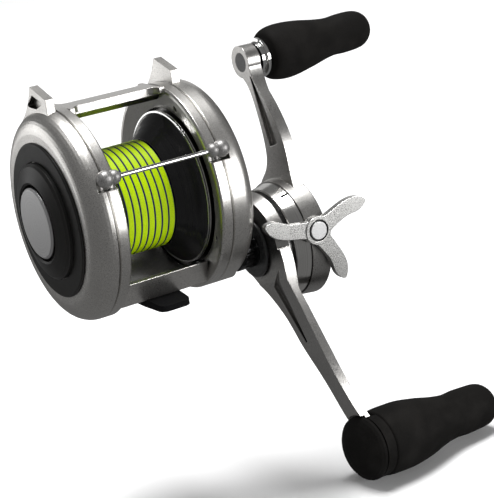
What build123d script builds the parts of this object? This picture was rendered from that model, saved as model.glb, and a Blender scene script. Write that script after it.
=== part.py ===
"""Conventional double-grip fishing reel, built as an assembly of separate bodies.

Millimetres. The origin is the centre of the foot's underside. +X runs along the
spool's axis towards the handle, +Y towards the rod tip and +Z away from the rod.
"""

from math import asin, atan2, cos, degrees, hypot, pi, radians, sin, tan
import os

from build123d import *

# Fits
RUN_GAP = 0.04  # radial gap of a shaft in its hole
SEAT_GAP = 0.02  # radial gap of a part seated in its pocket
FREE_GAP = 0.3  # gap between faces that pass each other

# Frame
RING_RADIUS = 34.0
RING_INNER_X = 15.9
RING_OUTER_X = 19.8
RING_HOLE_RADIUS = 26.0
DISH_RADIUS = 32.4
DISH_DEPTH = 1.8
FOOT_THICKNESS = 2.6
TROUGH_RADIUS = 26.9
TROUGH_FLAT_DROP = 29.2
TROUGH_RIM_Y = 18.2
TROUGH_RIM_DROP = 22.0
TROUGH_BASE_Y = 16.2
BAR_FRONT_Y = -3.2
BAR_REAR_Y = 5.0
BAR_THICKNESS = 4.4
BAR_WEB = 2.2
BAR_TOP_GAP = 0.3
BAR_FACE = 2.6
BAR_UNDERCUT = 1.9
BAR_FLARE = 3.4
AXIS_Z = TROUGH_FLAT_DROP + FOOT_THICKNESS

# Foot
FOOT_HALF_LENGTH = 25.0
FOOT_WIDTH = 12.0
FOOT_TIP_WIDTH = 10.4
FOOT_TIP_THICKNESS = 1.9
FOOT_SCREW_X = 3.2
FOOT_SCREW_Y = 9.0
FOOT_SCREW_RADIUS = 1.2
FOOT_SCREW_HEAD = 2.2

# Side plates
SEAM_CHAMFER = 0.7
SPIGOT_BORE = 24.4
PLATE_WALL = 2.0
LEFT_FACE_X = 27.0
LEFT_SHOULDER = 6.6
RIGHT_FACE_X = 29.0
RIGHT_SHOULDER = 5.0
CASE_RADIUS = 31.2
SPIGOT_DEPTH = 1.3
LUG_FRONT_Y = -4.9
LUG_REAR_Y = 18.5
LUG_APEX_Y = 5.7
LUG_APEX_RISE = 7.1
LUG_SHOULDER_RISE = 3.8
LUG_X_NEAR = 20.4
LUG_X_FAR = 23.2
LUG_POCKET_DEPTH = 1.8
PLATE_SCREW_RADIUS = 1.0
PLATE_SCREW_PCD_RADIUS = 28.8
LEFT_SCREW_ANGLES = (10, 130, 250)
RIGHT_SCREW_ANGLES = (-152, -62, 22, 112)

# Line guard rod
ROD_Y = -31.7
ROD_RISE = 15.9
ROD_RADIUS = 0.75
ROD_END_RADIUS = 2.7
ROD_NECK_RADIUS = 2.2
ROD_NECK_INSET = 2.9

# Brake
COVER_RADIUS = 24.8
COVER_X = 27.8
DIAL_RADIUS = 18.6
DIAL_X = 29.6
CAP_RADIUS = 11.4
CAP_X = 31.6
DIAL_TURN = 300.0
CARRIER_TRAVEL = 1.5
LEG_CIRCLE = 9.5
LEG_RADIUS = 1.2
MAGNET_COUNT = 6
MAGNET_CIRCLE = 9.5

# Spool
SPOOL_SHAFT_RADIUS = 2.5
FLANGE_RADIUS = 24.6
RIM_RADIUS = 25.2
FLANGE_X = 17.4
LINE_HALF_WIDTH = 8.4
LINE_RADIUS = 17.6
LINE_RIDGE = 0.45
LINE_BANDS = 7
ARBOR_RADIUS = 11.0
BEARING_RADIUS = 5.0
BEARING_WIDTH = 2.6

# Gear train
MODULE = 0.5
TOOTH_GAP = 0.09
CRANK_TEETH = 22
IDLER_SMALL_TEETH = 15
IDLER_LARGE_TEETH = 50
PINION_TEETH = 21
STAGE_B_X = 21.2
STAGE_A_X = 23.4
GEAR_WIDTH = 1.9
BRIDGE_X = 19.9
BRIDGE_THICKNESS = 1.1
ARBOR_PIN_RADIUS = 1.4

# Crank hub
HUB_Y = -10.5
HUB_DROP = 24.5
HUB_Z = AXIS_Z - HUB_DROP
HUB_DISTANCE = hypot(HUB_Y, HUB_DROP)
DRIVE_SHAFT_RADIUS = 3.0
SCOOP_X = 27.0
SCOOP_RADIUS = 8.4
SLEEVE_X = 29.3
SLEEVE_RADIUS = 6.3
SLEEVE_FLUTES = 16
SLEEVE_FLANGE_X = 36.4
SLEEVE_FLANGE_RADIUS = 10.2
LOWER_HUB_X = 37.6
LOWER_HUB_RADIUS = 17.6
LOWER_HUB_TAPER = 1.6
LOWER_ROOT_RADIUS = 10.8
SPACER_X = 41.6
SPACER_RADIUS = 16.6
COLLAR_X = 43.2
COLLAR_RADIUS = 19.2
COLLAR_TAPER = 1.2
COLLAR_WALL = 2.0
UPPER_HUB_X = 48.4
UPPER_HUB_RADIUS = 20.4
UPPER_HUB_TAPER = 0.7
UPPER_HUB_WIDTH = 6.6
NUT_WIDTH = 2.4

# Crank arms
ARM_ANGLE = 72.0
UPPER_EYE = (59.8, 4.1)
LOWER_EYE = (76.0, -1.5)
UPPER_EYE_RADIUS = 5.4
LOWER_EYE_RADIUS = 5.0
UPPER_EYE_X = 51.0
LOWER_EYE_X = 58.0
LOWER_BEND = (13.0, 40.0, 47.5)
UPPER_EYE_WIDTH = 4.8
LOWER_EYE_WIDTH = 2.6
UPPER_SHANK_WIDTH = 3.7
SPINDLE_HEAD_RADIUS = 3.1
SPINDLE_HEAD_WIDTH = 0.9
POCKET_DEPTH = 1.3

# Grips
UPPER_SPLAY = (2.9, 2.9)
LOWER_SPLAY = (2.1, 8.5)
SPINDLE_RADIUS = 2.2
COLLAR_LENGTH = 4.1
UPPER_GRIP_START = 4.5
UPPER_GRIP_LENGTH = 43.6
UPPER_GRIP_RADIUS = 9.4
UPPER_GRIP_WAIST = 6.7
UPPER_GRIP_END = 6.8
LOWER_GRIP_START = 0.9
LOWER_GRIP_LENGTH = 54.0
LOWER_GRIP_RADIUS = 11.8
LOWER_GRIP_WAIST = 8.1
LOWER_GRIP_END = 8.2
GRIP_BORE_RADIUS = 3.4
DOME_RADIUS = 11.2
DOME_LENGTH = 3.6
DOME_GAP = 0.9
SHROUD_RADIUS = 11.0
SHROUD_GAP = 0.3

# Star wheel
STAR_X = 49.4
STAR_DROP = 18.0
STAR_BACK_Y = -31.3
STAR_DEPTH = 2.6
STAR_HUB_RADIUS = 4.7
STAR_REACH = 19.9
STAR_ANGLES = (164, 17, -65)
STAR_CAP_RADIUS = 3.1
STEM_RADIUS = 1.7
STEM_DEPTH = 5.4


def spool_plane(x):
    """Plane square to the spool's axis at x, its own x along +Y and y along +Z."""
    return Plane(origin=(x, 0, AXIS_Z), x_dir=(0, 1, 0), z_dir=(1, 0, 0))


def hub_plane(x):
    """Plane square to the crank's axis at x."""
    return Plane(origin=(x, HUB_Y, HUB_Z), x_dir=(0, 1, 0), z_dir=(1, 0, 0))


def idler_centre():
    """Local (y, z) of the idler, which meshes with the crank gear and the pinion."""
    to_hub = MODULE * (CRANK_TEETH + IDLER_SMALL_TEETH) / 2
    to_spool = MODULE * (IDLER_LARGE_TEETH + PINION_TEETH) / 2
    along = (to_spool**2 + HUB_DISTANCE**2 - to_hub**2) / (2 * HUB_DISTANCE)
    across = max(to_spool**2 - along**2, 0) ** 0.5
    heading = atan2(-HUB_DROP, HUB_Y) + atan2(across, along)
    return to_spool * cos(heading), to_spool * sin(heading)


def idler_plane(x):
    """Plane square to the idler's axis at x."""
    y, z = idler_centre()
    return Plane(origin=(x, y, AXIS_Z + z), x_dir=(0, 1, 0), z_dir=(1, 0, 0))


def arm_plane(x, side):
    """Hub plane turned so that its own x runs out along the upper (1) or lower (-1) arm."""
    heading = radians(ARM_ANGLE)
    out = (0, side * cos(heading), side * sin(heading))
    return Plane(origin=(x, HUB_Y, HUB_Z), x_dir=out, z_dir=(1, 0, 0))


def knob_plane(side, offset=0.0):
    """Plane square to a grip's spindle, measured from the outer face of the arm's eye."""
    eye, near, width, splay = (
        (UPPER_EYE, UPPER_EYE_X, UPPER_EYE_WIDTH, UPPER_SPLAY)
        if side > 0
        else (LOWER_EYE, LOWER_EYE_X, LOWER_EYE_WIDTH, LOWER_SPLAY)
    )
    heading = radians(ARM_ANGLE)
    out = Vector(0, side * cos(heading), side * sin(heading))
    back = Vector(0, sin(heading), -cos(heading))
    axis = (Vector(1, 0, 0) + out * tan(radians(splay[0])) + back * tan(radians(splay[1]))).normalized()
    face = Vector(near + width, HUB_Y, HUB_Z) + out * eye[0] - back * eye[1]
    across = (out - axis * out.dot(axis)).normalized()
    return Plane(origin=face + axis * offset, x_dir=across, z_dir=axis)


def grip_sizes(side):
    """Start, length, and full, waist and end radius of a grip."""
    if side > 0:
        return UPPER_GRIP_START, UPPER_GRIP_LENGTH, UPPER_GRIP_RADIUS, UPPER_GRIP_WAIST, UPPER_GRIP_END
    return LOWER_GRIP_START, LOWER_GRIP_LENGTH, LOWER_GRIP_RADIUS, LOWER_GRIP_WAIST, LOWER_GRIP_END


def star_plane(y):
    """Plane square to the star wheel's axis at y, facing the angler."""
    return Plane(origin=(STAR_X, y, AXIS_Z - STAR_DROP), x_dir=(1, 0, 0), z_dir=(0, -1, 0))


def turn(points, plane, mode=Mode.ADD):
    """Turn a closed (height, radius) profile about the plane's normal."""
    section = Plane(origin=plane.origin, x_dir=plane.z_dir, z_dir=plane.z_dir.cross(plane.x_dir))
    with BuildSketch(section) as profile:
        with BuildLine():
            Polyline(*points, close=True)
        make_face()
    revolve(profile.sketch, axis=Axis(plane.origin, plane.z_dir), mode=mode)


def disc(plane, radius, height, mode=Mode.ADD):
    """Round boss or hole of the given radius standing on a plane."""
    with BuildSketch(plane) as face:
        Circle(radius)
    extrude(face.sketch, amount=height, mode=mode)


def ring(plane, outer, inner, height, mode=Mode.ADD):
    """Flat ring standing on a plane."""
    with BuildSketch(plane) as face:
        Circle(outer)
        Circle(inner, mode=Mode.SUBTRACT)
    extrude(face.sketch, amount=height, mode=mode)


def discs_at(plane, spots, radius, height, mode=Mode.ADD):
    """Equal round bosses or holes at several spots of one plane."""
    with BuildSketch(plane) as face:
        with Locations(*spots):
            Circle(radius)
    extrude(face.sketch, amount=height, mode=mode)


def around(radius, angles):
    """Spots on a circle at the given angles in degrees."""
    return [(radius * cos(radians(a)), radius * sin(radians(a))) for a in angles]


def gear(plane, teeth, width, bore, heading, tooth):
    """Spur gear with a tooth, or a gap when tooth is false, centred on the heading."""
    pitch_radius = MODULE * teeth / 2
    root_radius = pitch_radius - 1.2 * MODULE
    height = 2.0 * MODULE
    half_pitch = pi * MODULE / 4 - TOOTH_GAP
    root_width = 2 * (half_pitch + 1.2 * MODULE * tan(radians(18)))
    start = degrees(heading) + (0 if tooth else 180 / teeth)
    with BuildSketch(plane) as blank:
        Circle(root_radius)
        with PolarLocations(root_radius - 0.12, teeth, start_angle=start):
            Trapezoid(root_width, height + 0.12, 72, rotation=-90, align=(Align.CENTER, Align.MIN))
        Circle(bore, mode=Mode.SUBTRACT)
    extrude(blank.sketch, amount=width)


def heading_between(start, end):
    """Angle of the line from one local point to another."""
    return atan2(end[1] - start[1], end[0] - start[0])


def ring_profile(side):
    """Cross-section of a frame ring as (x, radius) points."""
    inner, outer = side * RING_INNER_X, side * RING_OUTER_X
    dish = side * (RING_INNER_X + DISH_DEPTH)
    return [
        (inner, RING_RADIUS - 0.6),
        (inner + side * 0.5, RING_RADIUS),
        (outer - side * 0.4, RING_RADIUS),
        (outer, RING_RADIUS - SEAM_CHAMFER),
        (outer, RING_HOLE_RADIUS),
        (dish, RING_HOLE_RADIUS),
        (inner, DISH_RADIUS),
    ]


def bar_profile():
    """Cross-section of the top bar, undercut along both lower edges, as local (y, z) points."""
    top = RING_RADIUS - BAR_TOP_GAP
    return [
        (BAR_FRONT_Y, top),
        (BAR_FRONT_Y, top - BAR_FACE),
        (BAR_FRONT_Y + BAR_UNDERCUT, top - BAR_THICKNESS),
        (BAR_REAR_Y - BAR_UNDERCUT, top - BAR_THICKNESS),
        (BAR_REAR_Y, top - BAR_FACE),
        (BAR_REAR_Y, top),
    ]


def build_frame():
    """One-piece frame: two rings, the top bar and the trough over the foot."""
    span = 2 * RING_INNER_X + 0.8
    with BuildPart() as frame:
        for side in (-1, 1):
            turn(ring_profile(side), spool_plane(0))
        with BuildSketch(Plane.XY.offset(AXIS_Z + RING_RADIUS - BAR_WEB)) as bar:
            with Locations((0, (BAR_FRONT_Y + BAR_REAR_Y) / 2)):
                Rectangle(span, BAR_REAR_Y - BAR_FRONT_Y)
                with GridLocations(span - 1.6, 0, 2, 1):
                    Rectangle(1.6, BAR_REAR_Y - BAR_FRONT_Y + 2 * BAR_FLARE)
            mid, half = (BAR_FRONT_Y + BAR_REAR_Y) / 2, (BAR_REAR_Y - BAR_FRONT_Y) / 2
            inner = bar.vertices().filter_by(lambda v: abs(v.Y - mid) < half + 0.01 and abs(v.X) < span / 2 - 1)
            fillet(inner, BAR_FLARE - 0.2)
        extrude(bar.sketch, amount=BAR_WEB - BAR_TOP_GAP)
        with BuildSketch(spool_plane(-span / 2)) as beam:
            with BuildLine():
                Polyline(*bar_profile(), close=True)
            make_face()
        extrude(beam.sketch, amount=span)
        with BuildSketch(spool_plane(-span / 2)) as trough:
            with BuildLine():
                Polyline(
                    (-TROUGH_RIM_Y, -TROUGH_RIM_DROP),
                    (-TROUGH_BASE_Y, -TROUGH_FLAT_DROP),
                    (TROUGH_BASE_Y, -TROUGH_FLAT_DROP),
                    (TROUGH_RIM_Y, -TROUGH_RIM_DROP),
                    close=True,
                )
            make_face()
            Circle(TROUGH_RADIUS, mode=Mode.SUBTRACT)
        extrude(trough.sketch, amount=span)
        for side in (-1, 1):
            wall = spool_plane(side * (RING_INNER_X + 0.2))
            disc(wall, RING_HOLE_RADIUS, side * 4, Mode.SUBTRACT)
            angles = LEFT_SCREW_ANGLES if side < 0 else RIGHT_SCREW_ANGLES
            spots = around(PLATE_SCREW_PCD_RADIUS, angles)
            holes = PLATE_SCREW_RADIUS + RUN_GAP
            discs_at(spool_plane(side * 14), spots, holes, side * 6, Mode.SUBTRACT)
        under = Plane.XY.offset(FOOT_THICKNESS)
        discs_at(under, foot_screw_spots(), FOOT_SCREW_RADIUS + RUN_GAP, 2.8, Mode.SUBTRACT)
        cut_rod_socket(-1)
        cut_rod_socket(1)
    return frame.part


def foot_screw_spots():
    """Plan positions of the foot's screws."""
    return [(i * FOOT_SCREW_X, j * FOOT_SCREW_Y) for i in (-1, 1) for j in (-1, 1)]


def build_foot():
    """Foot that lies in a rod's reel seat, thinned towards both tips."""
    with BuildPart() as foot:
        with BuildSketch(Plane.XY) as plan:
            with BuildLine():
                Polyline(
                    (-FOOT_TIP_WIDTH / 2, -FOOT_HALF_LENGTH),
                    (FOOT_TIP_WIDTH / 2, -FOOT_HALF_LENGTH),
                    (FOOT_WIDTH / 2, -14),
                    (FOOT_WIDTH / 2, 14),
                    (FOOT_TIP_WIDTH / 2, FOOT_HALF_LENGTH),
                    (-FOOT_TIP_WIDTH / 2, FOOT_HALF_LENGTH),
                    (-FOOT_WIDTH / 2, 14),
                    (-FOOT_WIDTH / 2, -14),
                    close=True,
                )
            make_face()
            fillet(plan.vertices(), 2.6)
        extrude(plan.sketch, amount=FOOT_THICKNESS)
        with BuildSketch(Plane.YZ.offset(-FOOT_WIDTH)) as side:
            with BuildLine():
                Polyline(
                    (-FOOT_HALF_LENGTH, 0),
                    (FOOT_HALF_LENGTH, 0),
                    (FOOT_HALF_LENGTH, FOOT_TIP_THICKNESS),
                    (16.5, FOOT_THICKNESS),
                    (-16.5, FOOT_THICKNESS),
                    (-FOOT_HALF_LENGTH, FOOT_TIP_THICKNESS),
                    close=True,
                )
            make_face()
        extrude(side.sketch, amount=2 * FOOT_WIDTH, mode=Mode.INTERSECT)
        for x, y in foot_screw_spots():
            seat = Plane(origin=(x, y, 0))
            turn(countersink(RUN_GAP), seat, Mode.SUBTRACT)
    return foot.part


def countersink(gap):
    """Flat-head screw outline as (height, radius), grown by a gap."""
    return [
        (0, 0),
        (0, FOOT_SCREW_HEAD + gap),
        (FOOT_SCREW_HEAD - FOOT_SCREW_RADIUS, FOOT_SCREW_RADIUS + gap),
        (FOOT_THICKNESS + (2.4 if gap == 0 else 1), FOOT_SCREW_RADIUS + gap),
        (FOOT_THICKNESS + (2.4 if gap == 0 else 1), 0),
    ]


def build_foot_screws():
    """Four flat-head screws that hold the foot to the trough."""
    with BuildPart() as screws:
        for x, y in foot_screw_spots():
            turn(countersink(0), Plane(origin=(x, y, 0)))
            with BuildSketch(Plane(origin=(x, y, 0))) as slot:
                Rectangle(3.2, 0.6)
            extrude(slot.sketch, amount=0.5, mode=Mode.SUBTRACT)
    return screws.part


def lug(side):
    """Harness lug on top of a side plate with a pocket in its outer face."""
    apex = RING_RADIUS + LUG_APEX_RISE
    shoulder = RING_RADIUS + LUG_SHOULDER_RISE
    near, far = side * LUG_X_NEAR, side * LUG_X_FAR
    rear = (LUG_REAR_Y, RING_RADIUS - 5.9)
    with BuildSketch(spool_plane(near)) as fin:
        with BuildLine():
            Polyline(
                (LUG_APEX_Y, apex),
                (LUG_FRONT_Y, shoulder),
                (LUG_FRONT_Y, RING_RADIUS - 1.4),
                (LUG_APEX_Y, RING_RADIUS - 1.6),
                rear,
            )
            ThreePointArc(rear, (LUG_APEX_Y + 4.6, RING_RADIUS + 0.6), (LUG_APEX_Y, apex))
        make_face()
    extrude(fin.sketch, amount=far - near)
    with BuildSketch(spool_plane(far)) as pocket:
        with BuildLine():
            Polyline(
                (LUG_APEX_Y - 0.7, apex - 2.7),
                (LUG_APEX_Y + 5.0, RING_RADIUS + 0.4),
                (LUG_APEX_Y - 2.4, RING_RADIUS + 0.2),
                (LUG_FRONT_Y + 2.6, shoulder - 1.4),
                close=True,
            )
        make_face()
        fillet(pocket.vertices(), 0.5)
    extrude(pocket.sketch, amount=-side * LUG_POCKET_DEPTH, mode=Mode.SUBTRACT)


def shoulder_arc(face_x, radius):
    """Points of a rounded shoulder from the rim to the flat face as (x, radius)."""
    steps = 10
    return [
        (
            face_x - radius + radius * sin(pi / 2 * i / steps),
            RING_RADIUS - radius + radius * cos(pi / 2 * i / steps),
        )
        for i in range(steps + 1)
    ]


def build_left_plate():
    """Left side plate: a rounded cup with a lug, a bearing boss and leg holes."""
    outer = [(-x, r) for x, r in shoulder_arc(LEFT_FACE_X, LEFT_SHOULDER)]
    cup = [(-RING_OUTER_X, RING_RADIUS - SEAM_CHAMFER), (-RING_OUTER_X - 0.4, RING_RADIUS)]
    cup += outer + [(-LEFT_FACE_X, 0), (-LEFT_FACE_X + PLATE_WALL, 0)]
    cup += [(-LEFT_FACE_X + PLATE_WALL, SPIGOT_BORE), (-RING_OUTER_X, SPIGOT_BORE)]
    pins = around(PLATE_SCREW_PCD_RADIUS, LEFT_SCREW_ANGLES)
    with BuildPart() as plate:
        turn(cup, spool_plane(0))
        ring(spool_plane(-RING_OUTER_X), RING_HOLE_RADIUS - SEAT_GAP, SPIGOT_BORE, SPIGOT_DEPTH)
        lug(-1)
        boss = spool_plane(-LEFT_FACE_X + PLATE_WALL - 0.2)
        disc(boss, BEARING_RADIUS + 1.6, 3.8)
        disc(spool_plane(-LEFT_FACE_X + PLATE_WALL + 0.8), BEARING_RADIUS + SEAT_GAP, 3, Mode.SUBTRACT)
        face = spool_plane(-LEFT_FACE_X)
        legs = around(LEG_CIRCLE, (30, 150, 270))
        discs_at(face, legs, LEG_RADIUS + RUN_GAP, PLATE_WALL, Mode.SUBTRACT)
        disc(face, 3.0 + RUN_GAP, 1.4, Mode.SUBTRACT)
        discs_at(spool_plane(-RING_OUTER_X), pins, PLATE_SCREW_RADIUS + RUN_GAP, -3.4, Mode.SUBTRACT)
        cut_rod_socket(-1)
    return plate.part


def cut_rod_socket(side):
    """Clearance for one of the guard rod's ends and the bead beside it."""
    spots = [(RING_OUTER_X, ROD_END_RADIUS), (RING_OUTER_X - ROD_NECK_INSET, ROD_NECK_RADIUS)]
    for x, radius in spots:
        socket = Plane(origin=(side * x, ROD_Y, AXIS_Z + ROD_RISE))
        with BuildSketch(socket) as pocket:
            Circle(radius + RUN_GAP)
        extrude(pocket.sketch, amount=ROD_END_RADIUS + 1, both=True, mode=Mode.SUBTRACT)


def build_left_screws():
    """Screws that enter from the dished wall and hold the left side plate."""
    with BuildPart() as screws:
        seat = spool_plane(-RING_INNER_X - 0.9)
        spots = around(PLATE_SCREW_PCD_RADIUS, LEFT_SCREW_ANGLES)
        discs_at(seat, spots, PLATE_SCREW_RADIUS, -(RING_OUTER_X - RING_INNER_X - 0.9) - 3.2)
    return screws.part


def build_cover_ring():
    """Black ring seated on the left side plate around the brake dial."""
    back, front = -LEFT_FACE_X, -COVER_X
    outline = [
        (back, DIAL_RADIUS + FREE_GAP),
        (back, COVER_RADIUS),
        (front + 0.35, COVER_RADIUS),
        (front, COVER_RADIUS - 0.45),
        (front, DIAL_RADIUS + FREE_GAP),
    ]
    with BuildPart() as cover:
        turn(outline, spool_plane(0))
    return cover.part


def build_brake_dial():
    """Turning brake dial with a groove around its cap and a stub in the plate."""
    back, front = -LEFT_FACE_X - 0.25, -DIAL_X
    groove = front + 1.3
    outline = [
        (back, 0),
        (back, DIAL_RADIUS),
        (front + 0.7, DIAL_RADIUS),
        (front, DIAL_RADIUS - 0.9),
        (-CAP_X + 0.5, CAP_RADIUS + 1.6),
        (-CAP_X + 0.9, CAP_RADIUS + 0.9),
        (groove, CAP_RADIUS + 0.9),
        (groove, 0),
    ]
    with BuildPart() as dial:
        turn(outline, spool_plane(0))
        disc(spool_plane(back), 3.0, 1.3)
    return dial.part


def build_dial_cap():
    """Satin cap standing in the dial's groove."""
    back, front = -DIAL_X + 1.3, -CAP_X
    outline = [(back, 0), (back, CAP_RADIUS), (front + 0.6, CAP_RADIUS)]
    outline += [(front, CAP_RADIUS - 0.6), (front, 0)]
    with BuildPart() as cap:
        turn(outline, spool_plane(0))
    return cap.part


def build_magnet_carrier():
    """Brake carrier whose three legs reach the dial through the side plate."""
    back = -LEFT_FACE_X + PLATE_WALL + 0.3
    with BuildPart() as carrier:
        ring(spool_plane(back), 13.0, BEARING_RADIUS + 1.6 + FREE_GAP, 1.4)
        legs = around(LEG_CIRCLE, (30, 150, 270))
        discs_at(spool_plane(back), legs, LEG_RADIUS, -2.3)
        spots = around(MAGNET_CIRCLE + 1.2, range(0, 360, 60))
        discs_at(spool_plane(back + 0.6), spots, 1.6 + SEAT_GAP, 1, Mode.SUBTRACT)
    return carrier.part


def build_brake_magnets():
    """Six magnets seated in the carrier."""
    back = -LEFT_FACE_X + PLATE_WALL + 0.3
    with BuildPart() as magnets:
        spots = around(MAGNET_CIRCLE + 1.2, range(0, 360, 60))
        discs_at(spool_plane(back + 0.6), spots, 1.6, 1.2)
    return magnets.part


def build_rotor():
    """Induction rotor cup carried by the spool in front of the magnets."""
    with BuildPart() as rotor:
        ring(spool_plane(-20.2), 13.5, SPOOL_SHAFT_RADIUS + SEAT_GAP, 1.0)
        ring(spool_plane(-19.3), 8.0, SPOOL_SHAFT_RADIUS + SEAT_GAP, 2.6)
    return rotor.part


def bearing(x):
    """Shielded bearing around the spool's shaft."""
    with BuildPart() as race:
        outline = [
            (0, SPOOL_SHAFT_RADIUS + RUN_GAP),
            (0, BEARING_RADIUS - 1.0),
            (0.25, BEARING_RADIUS - 0.9),
            (0, BEARING_RADIUS - 0.8),
            (0, BEARING_RADIUS),
            (BEARING_WIDTH, BEARING_RADIUS),
            (BEARING_WIDTH, BEARING_RADIUS - 0.8),
            (BEARING_WIDTH - 0.25, BEARING_RADIUS - 0.9),
            (BEARING_WIDTH, BEARING_RADIUS - 1.0),
            (BEARING_WIDTH, SPOOL_SHAFT_RADIUS + RUN_GAP),
        ]
        turn(outline, spool_plane(x))
    return race.part


def build_spool():
    """Spool with cone-shaped cheeks and recessed outer faces."""
    cone = LINE_HALF_WIDTH + FREE_GAP
    bore = SPOOL_SHAFT_RADIUS + SEAT_GAP
    half = [
        (FLANGE_X - 0.4, 21.0),
        (FLANGE_X - 0.4, FLANGE_RADIUS),
        (RING_INNER_X - 0.2, FLANGE_RADIUS),
        (14.8, LINE_RADIUS + 6.0),
        (13.4, LINE_RADIUS + 4.2),
        (11.6, LINE_RADIUS + 2.4),
        (9.9, LINE_RADIUS + 1.0),
        (cone, LINE_RADIUS + 0.1),
        (cone, ARBOR_RADIUS),
    ]
    inner = [(13.0, 18.6), (13.0, 8.5), (16.4, 8.5), (16.4, bore)]
    right = half[::-1]
    left = [(-x, r) for x, r in half]
    outline = [(-x, r) for x, r in inner[::-1]] + left + right + inner
    with BuildPart() as spool:
        turn(outline, spool_plane(0))
    return spool.part


def build_spool_rims():
    """Two bright bands seated around each flange of the spool."""
    with BuildPart() as rims:
        for side in (-1, 1):
            for start in (RING_INNER_X - 0.1, RING_INNER_X + 0.6):
                band = spool_plane(side * start)
                ring(band, RIM_RADIUS, FLANGE_RADIUS, side * 0.4)
    return rims.part


def build_wound_line():
    """Line wound on the spool, its layers showing as rounded bands."""
    pitch = 2 * LINE_HALF_WIDTH / LINE_BANDS
    crest = []
    for band in range(LINE_BANDS):
        start = -LINE_HALF_WIDTH + band * pitch
        crest.append((start + 0.06, LINE_RADIUS - LINE_RIDGE))
        crest.append((start + 0.2 * pitch, LINE_RADIUS - 0.1))
        crest.append((start + 0.5 * pitch, LINE_RADIUS))
        crest.append((start + 0.8 * pitch, LINE_RADIUS - 0.1))
        crest.append((start + pitch - 0.06, LINE_RADIUS - LINE_RIDGE))
    inner = ARBOR_RADIUS + SEAT_GAP
    outline = [(-LINE_HALF_WIDTH, inner)] + crest + [(LINE_HALF_WIDTH, inner)]
    with BuildPart() as line:
        turn(outline, spool_plane(0))
    return line.part


def build_spool_shaft():
    """Shaft that carries the spool, the rotor and the pinion."""
    with BuildPart() as shaft:
        disc(spool_plane(-23.9), SPOOL_SHAFT_RADIUS, 23.9 + 27.0)
        chamfer(shaft.edges().filter_by(GeomType.CIRCLE), 0.3)
    return shaft.part


def build_right_plate():
    """Right side plate: a gear-case cup with posts, a lug and a scoop at the crank."""
    outer = shoulder_arc(RIGHT_FACE_X, RIGHT_SHOULDER)
    depth_x = RIGHT_FACE_X - PLATE_WALL
    cup = [(RING_OUTER_X, RING_RADIUS - SEAM_CHAMFER), (RING_OUTER_X + 0.4, RING_RADIUS)]
    cup += outer + [(RIGHT_FACE_X, 0), (depth_x, 0)]
    cup += [(depth_x, CASE_RADIUS - 4.2), (depth_x - 4.2, CASE_RADIUS), (RING_OUTER_X, CASE_RADIUS)]
    posts = around(PLATE_SCREW_PCD_RADIUS, RIGHT_SCREW_ANGLES)
    with BuildPart() as plate:
        turn(cup, spool_plane(0))
        with BuildSketch(spool_plane(RING_OUTER_X)) as columns:
            with Locations(*posts):
                Circle(2.3)
            Circle(RING_RADIUS - 1.5, mode=Mode.INTERSECT)
        extrude(columns.sketch, amount=depth_x - RING_OUTER_X)
        lug(1)
        disc(hub_plane(RING_OUTER_X + 1.4), 7.4, SCOOP_X - RING_OUTER_X - 1.4)
        disc(hub_plane(RING_OUTER_X), 6.3, STAGE_A_X + GEAR_WIDTH + 0.2 - RING_OUTER_X, Mode.SUBTRACT)
        small = MODULE * (IDLER_SMALL_TEETH + 2) / 2 + FREE_GAP
        disc(idler_plane(RING_OUTER_X), small, STAGE_A_X + GEAR_WIDTH + 0.2 - RING_OUTER_X, Mode.SUBTRACT)
        disc(hub_plane(SCOOP_X), SCOOP_RADIUS, 6, Mode.SUBTRACT)
        disc(hub_plane(RING_OUTER_X), 4.4 + SEAT_GAP, 10, Mode.SUBTRACT)
        disc(spool_plane(STAGE_B_X + GEAR_WIDTH + 0.6), BEARING_RADIUS + 1.6, 4)
        pocket = spool_plane(STAGE_B_X + GEAR_WIDTH + 0.6)
        disc(pocket, BEARING_RADIUS + SEAT_GAP, BEARING_WIDTH + 0.1, Mode.SUBTRACT)
        disc(spool_plane(RING_OUTER_X), SPOOL_SHAFT_RADIUS + 0.5, 7.6, Mode.SUBTRACT)
        disc(idler_plane(depth_x - 0.6), ARBOR_PIN_RADIUS + 1.4, 1.0)
        disc(idler_plane(depth_x - 0.6), ARBOR_PIN_RADIUS + SEAT_GAP, 1.6, Mode.SUBTRACT)
        disc(idler_plane(RING_OUTER_X), 12.5 + 0.9, STAGE_B_X + GEAR_WIDTH + 0.15 - RING_OUTER_X, Mode.SUBTRACT)
        discs_at(spool_plane(RING_OUTER_X), posts, PLATE_SCREW_RADIUS + RUN_GAP, 12, Mode.SUBTRACT)
        discs_at(spool_plane(RIGHT_FACE_X - 1.5), posts, 1.9 + RUN_GAP, 4, Mode.SUBTRACT)
        cut_rod_socket(1)
    return plate.part


def build_right_screws():
    """Pan-head screws through the right side plate into the frame."""
    with BuildPart() as screws:
        spots = around(PLATE_SCREW_PCD_RADIUS, RIGHT_SCREW_ANGLES)
        seat = spool_plane(RIGHT_FACE_X - 1.5)
        discs_at(seat, spots, PLATE_SCREW_RADIUS, RING_OUTER_X - RIGHT_FACE_X - 0.4)
        discs_at(seat, spots, 1.9, 1.2)
        with BuildSketch(spool_plane(RIGHT_FACE_X - 0.3)) as slots:
            with Locations(*spots):
                RegularPolygon(0.8, 6)
        extrude(slots.sketch, amount=-0.7, mode=Mode.SUBTRACT)
    return screws.part


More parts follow.
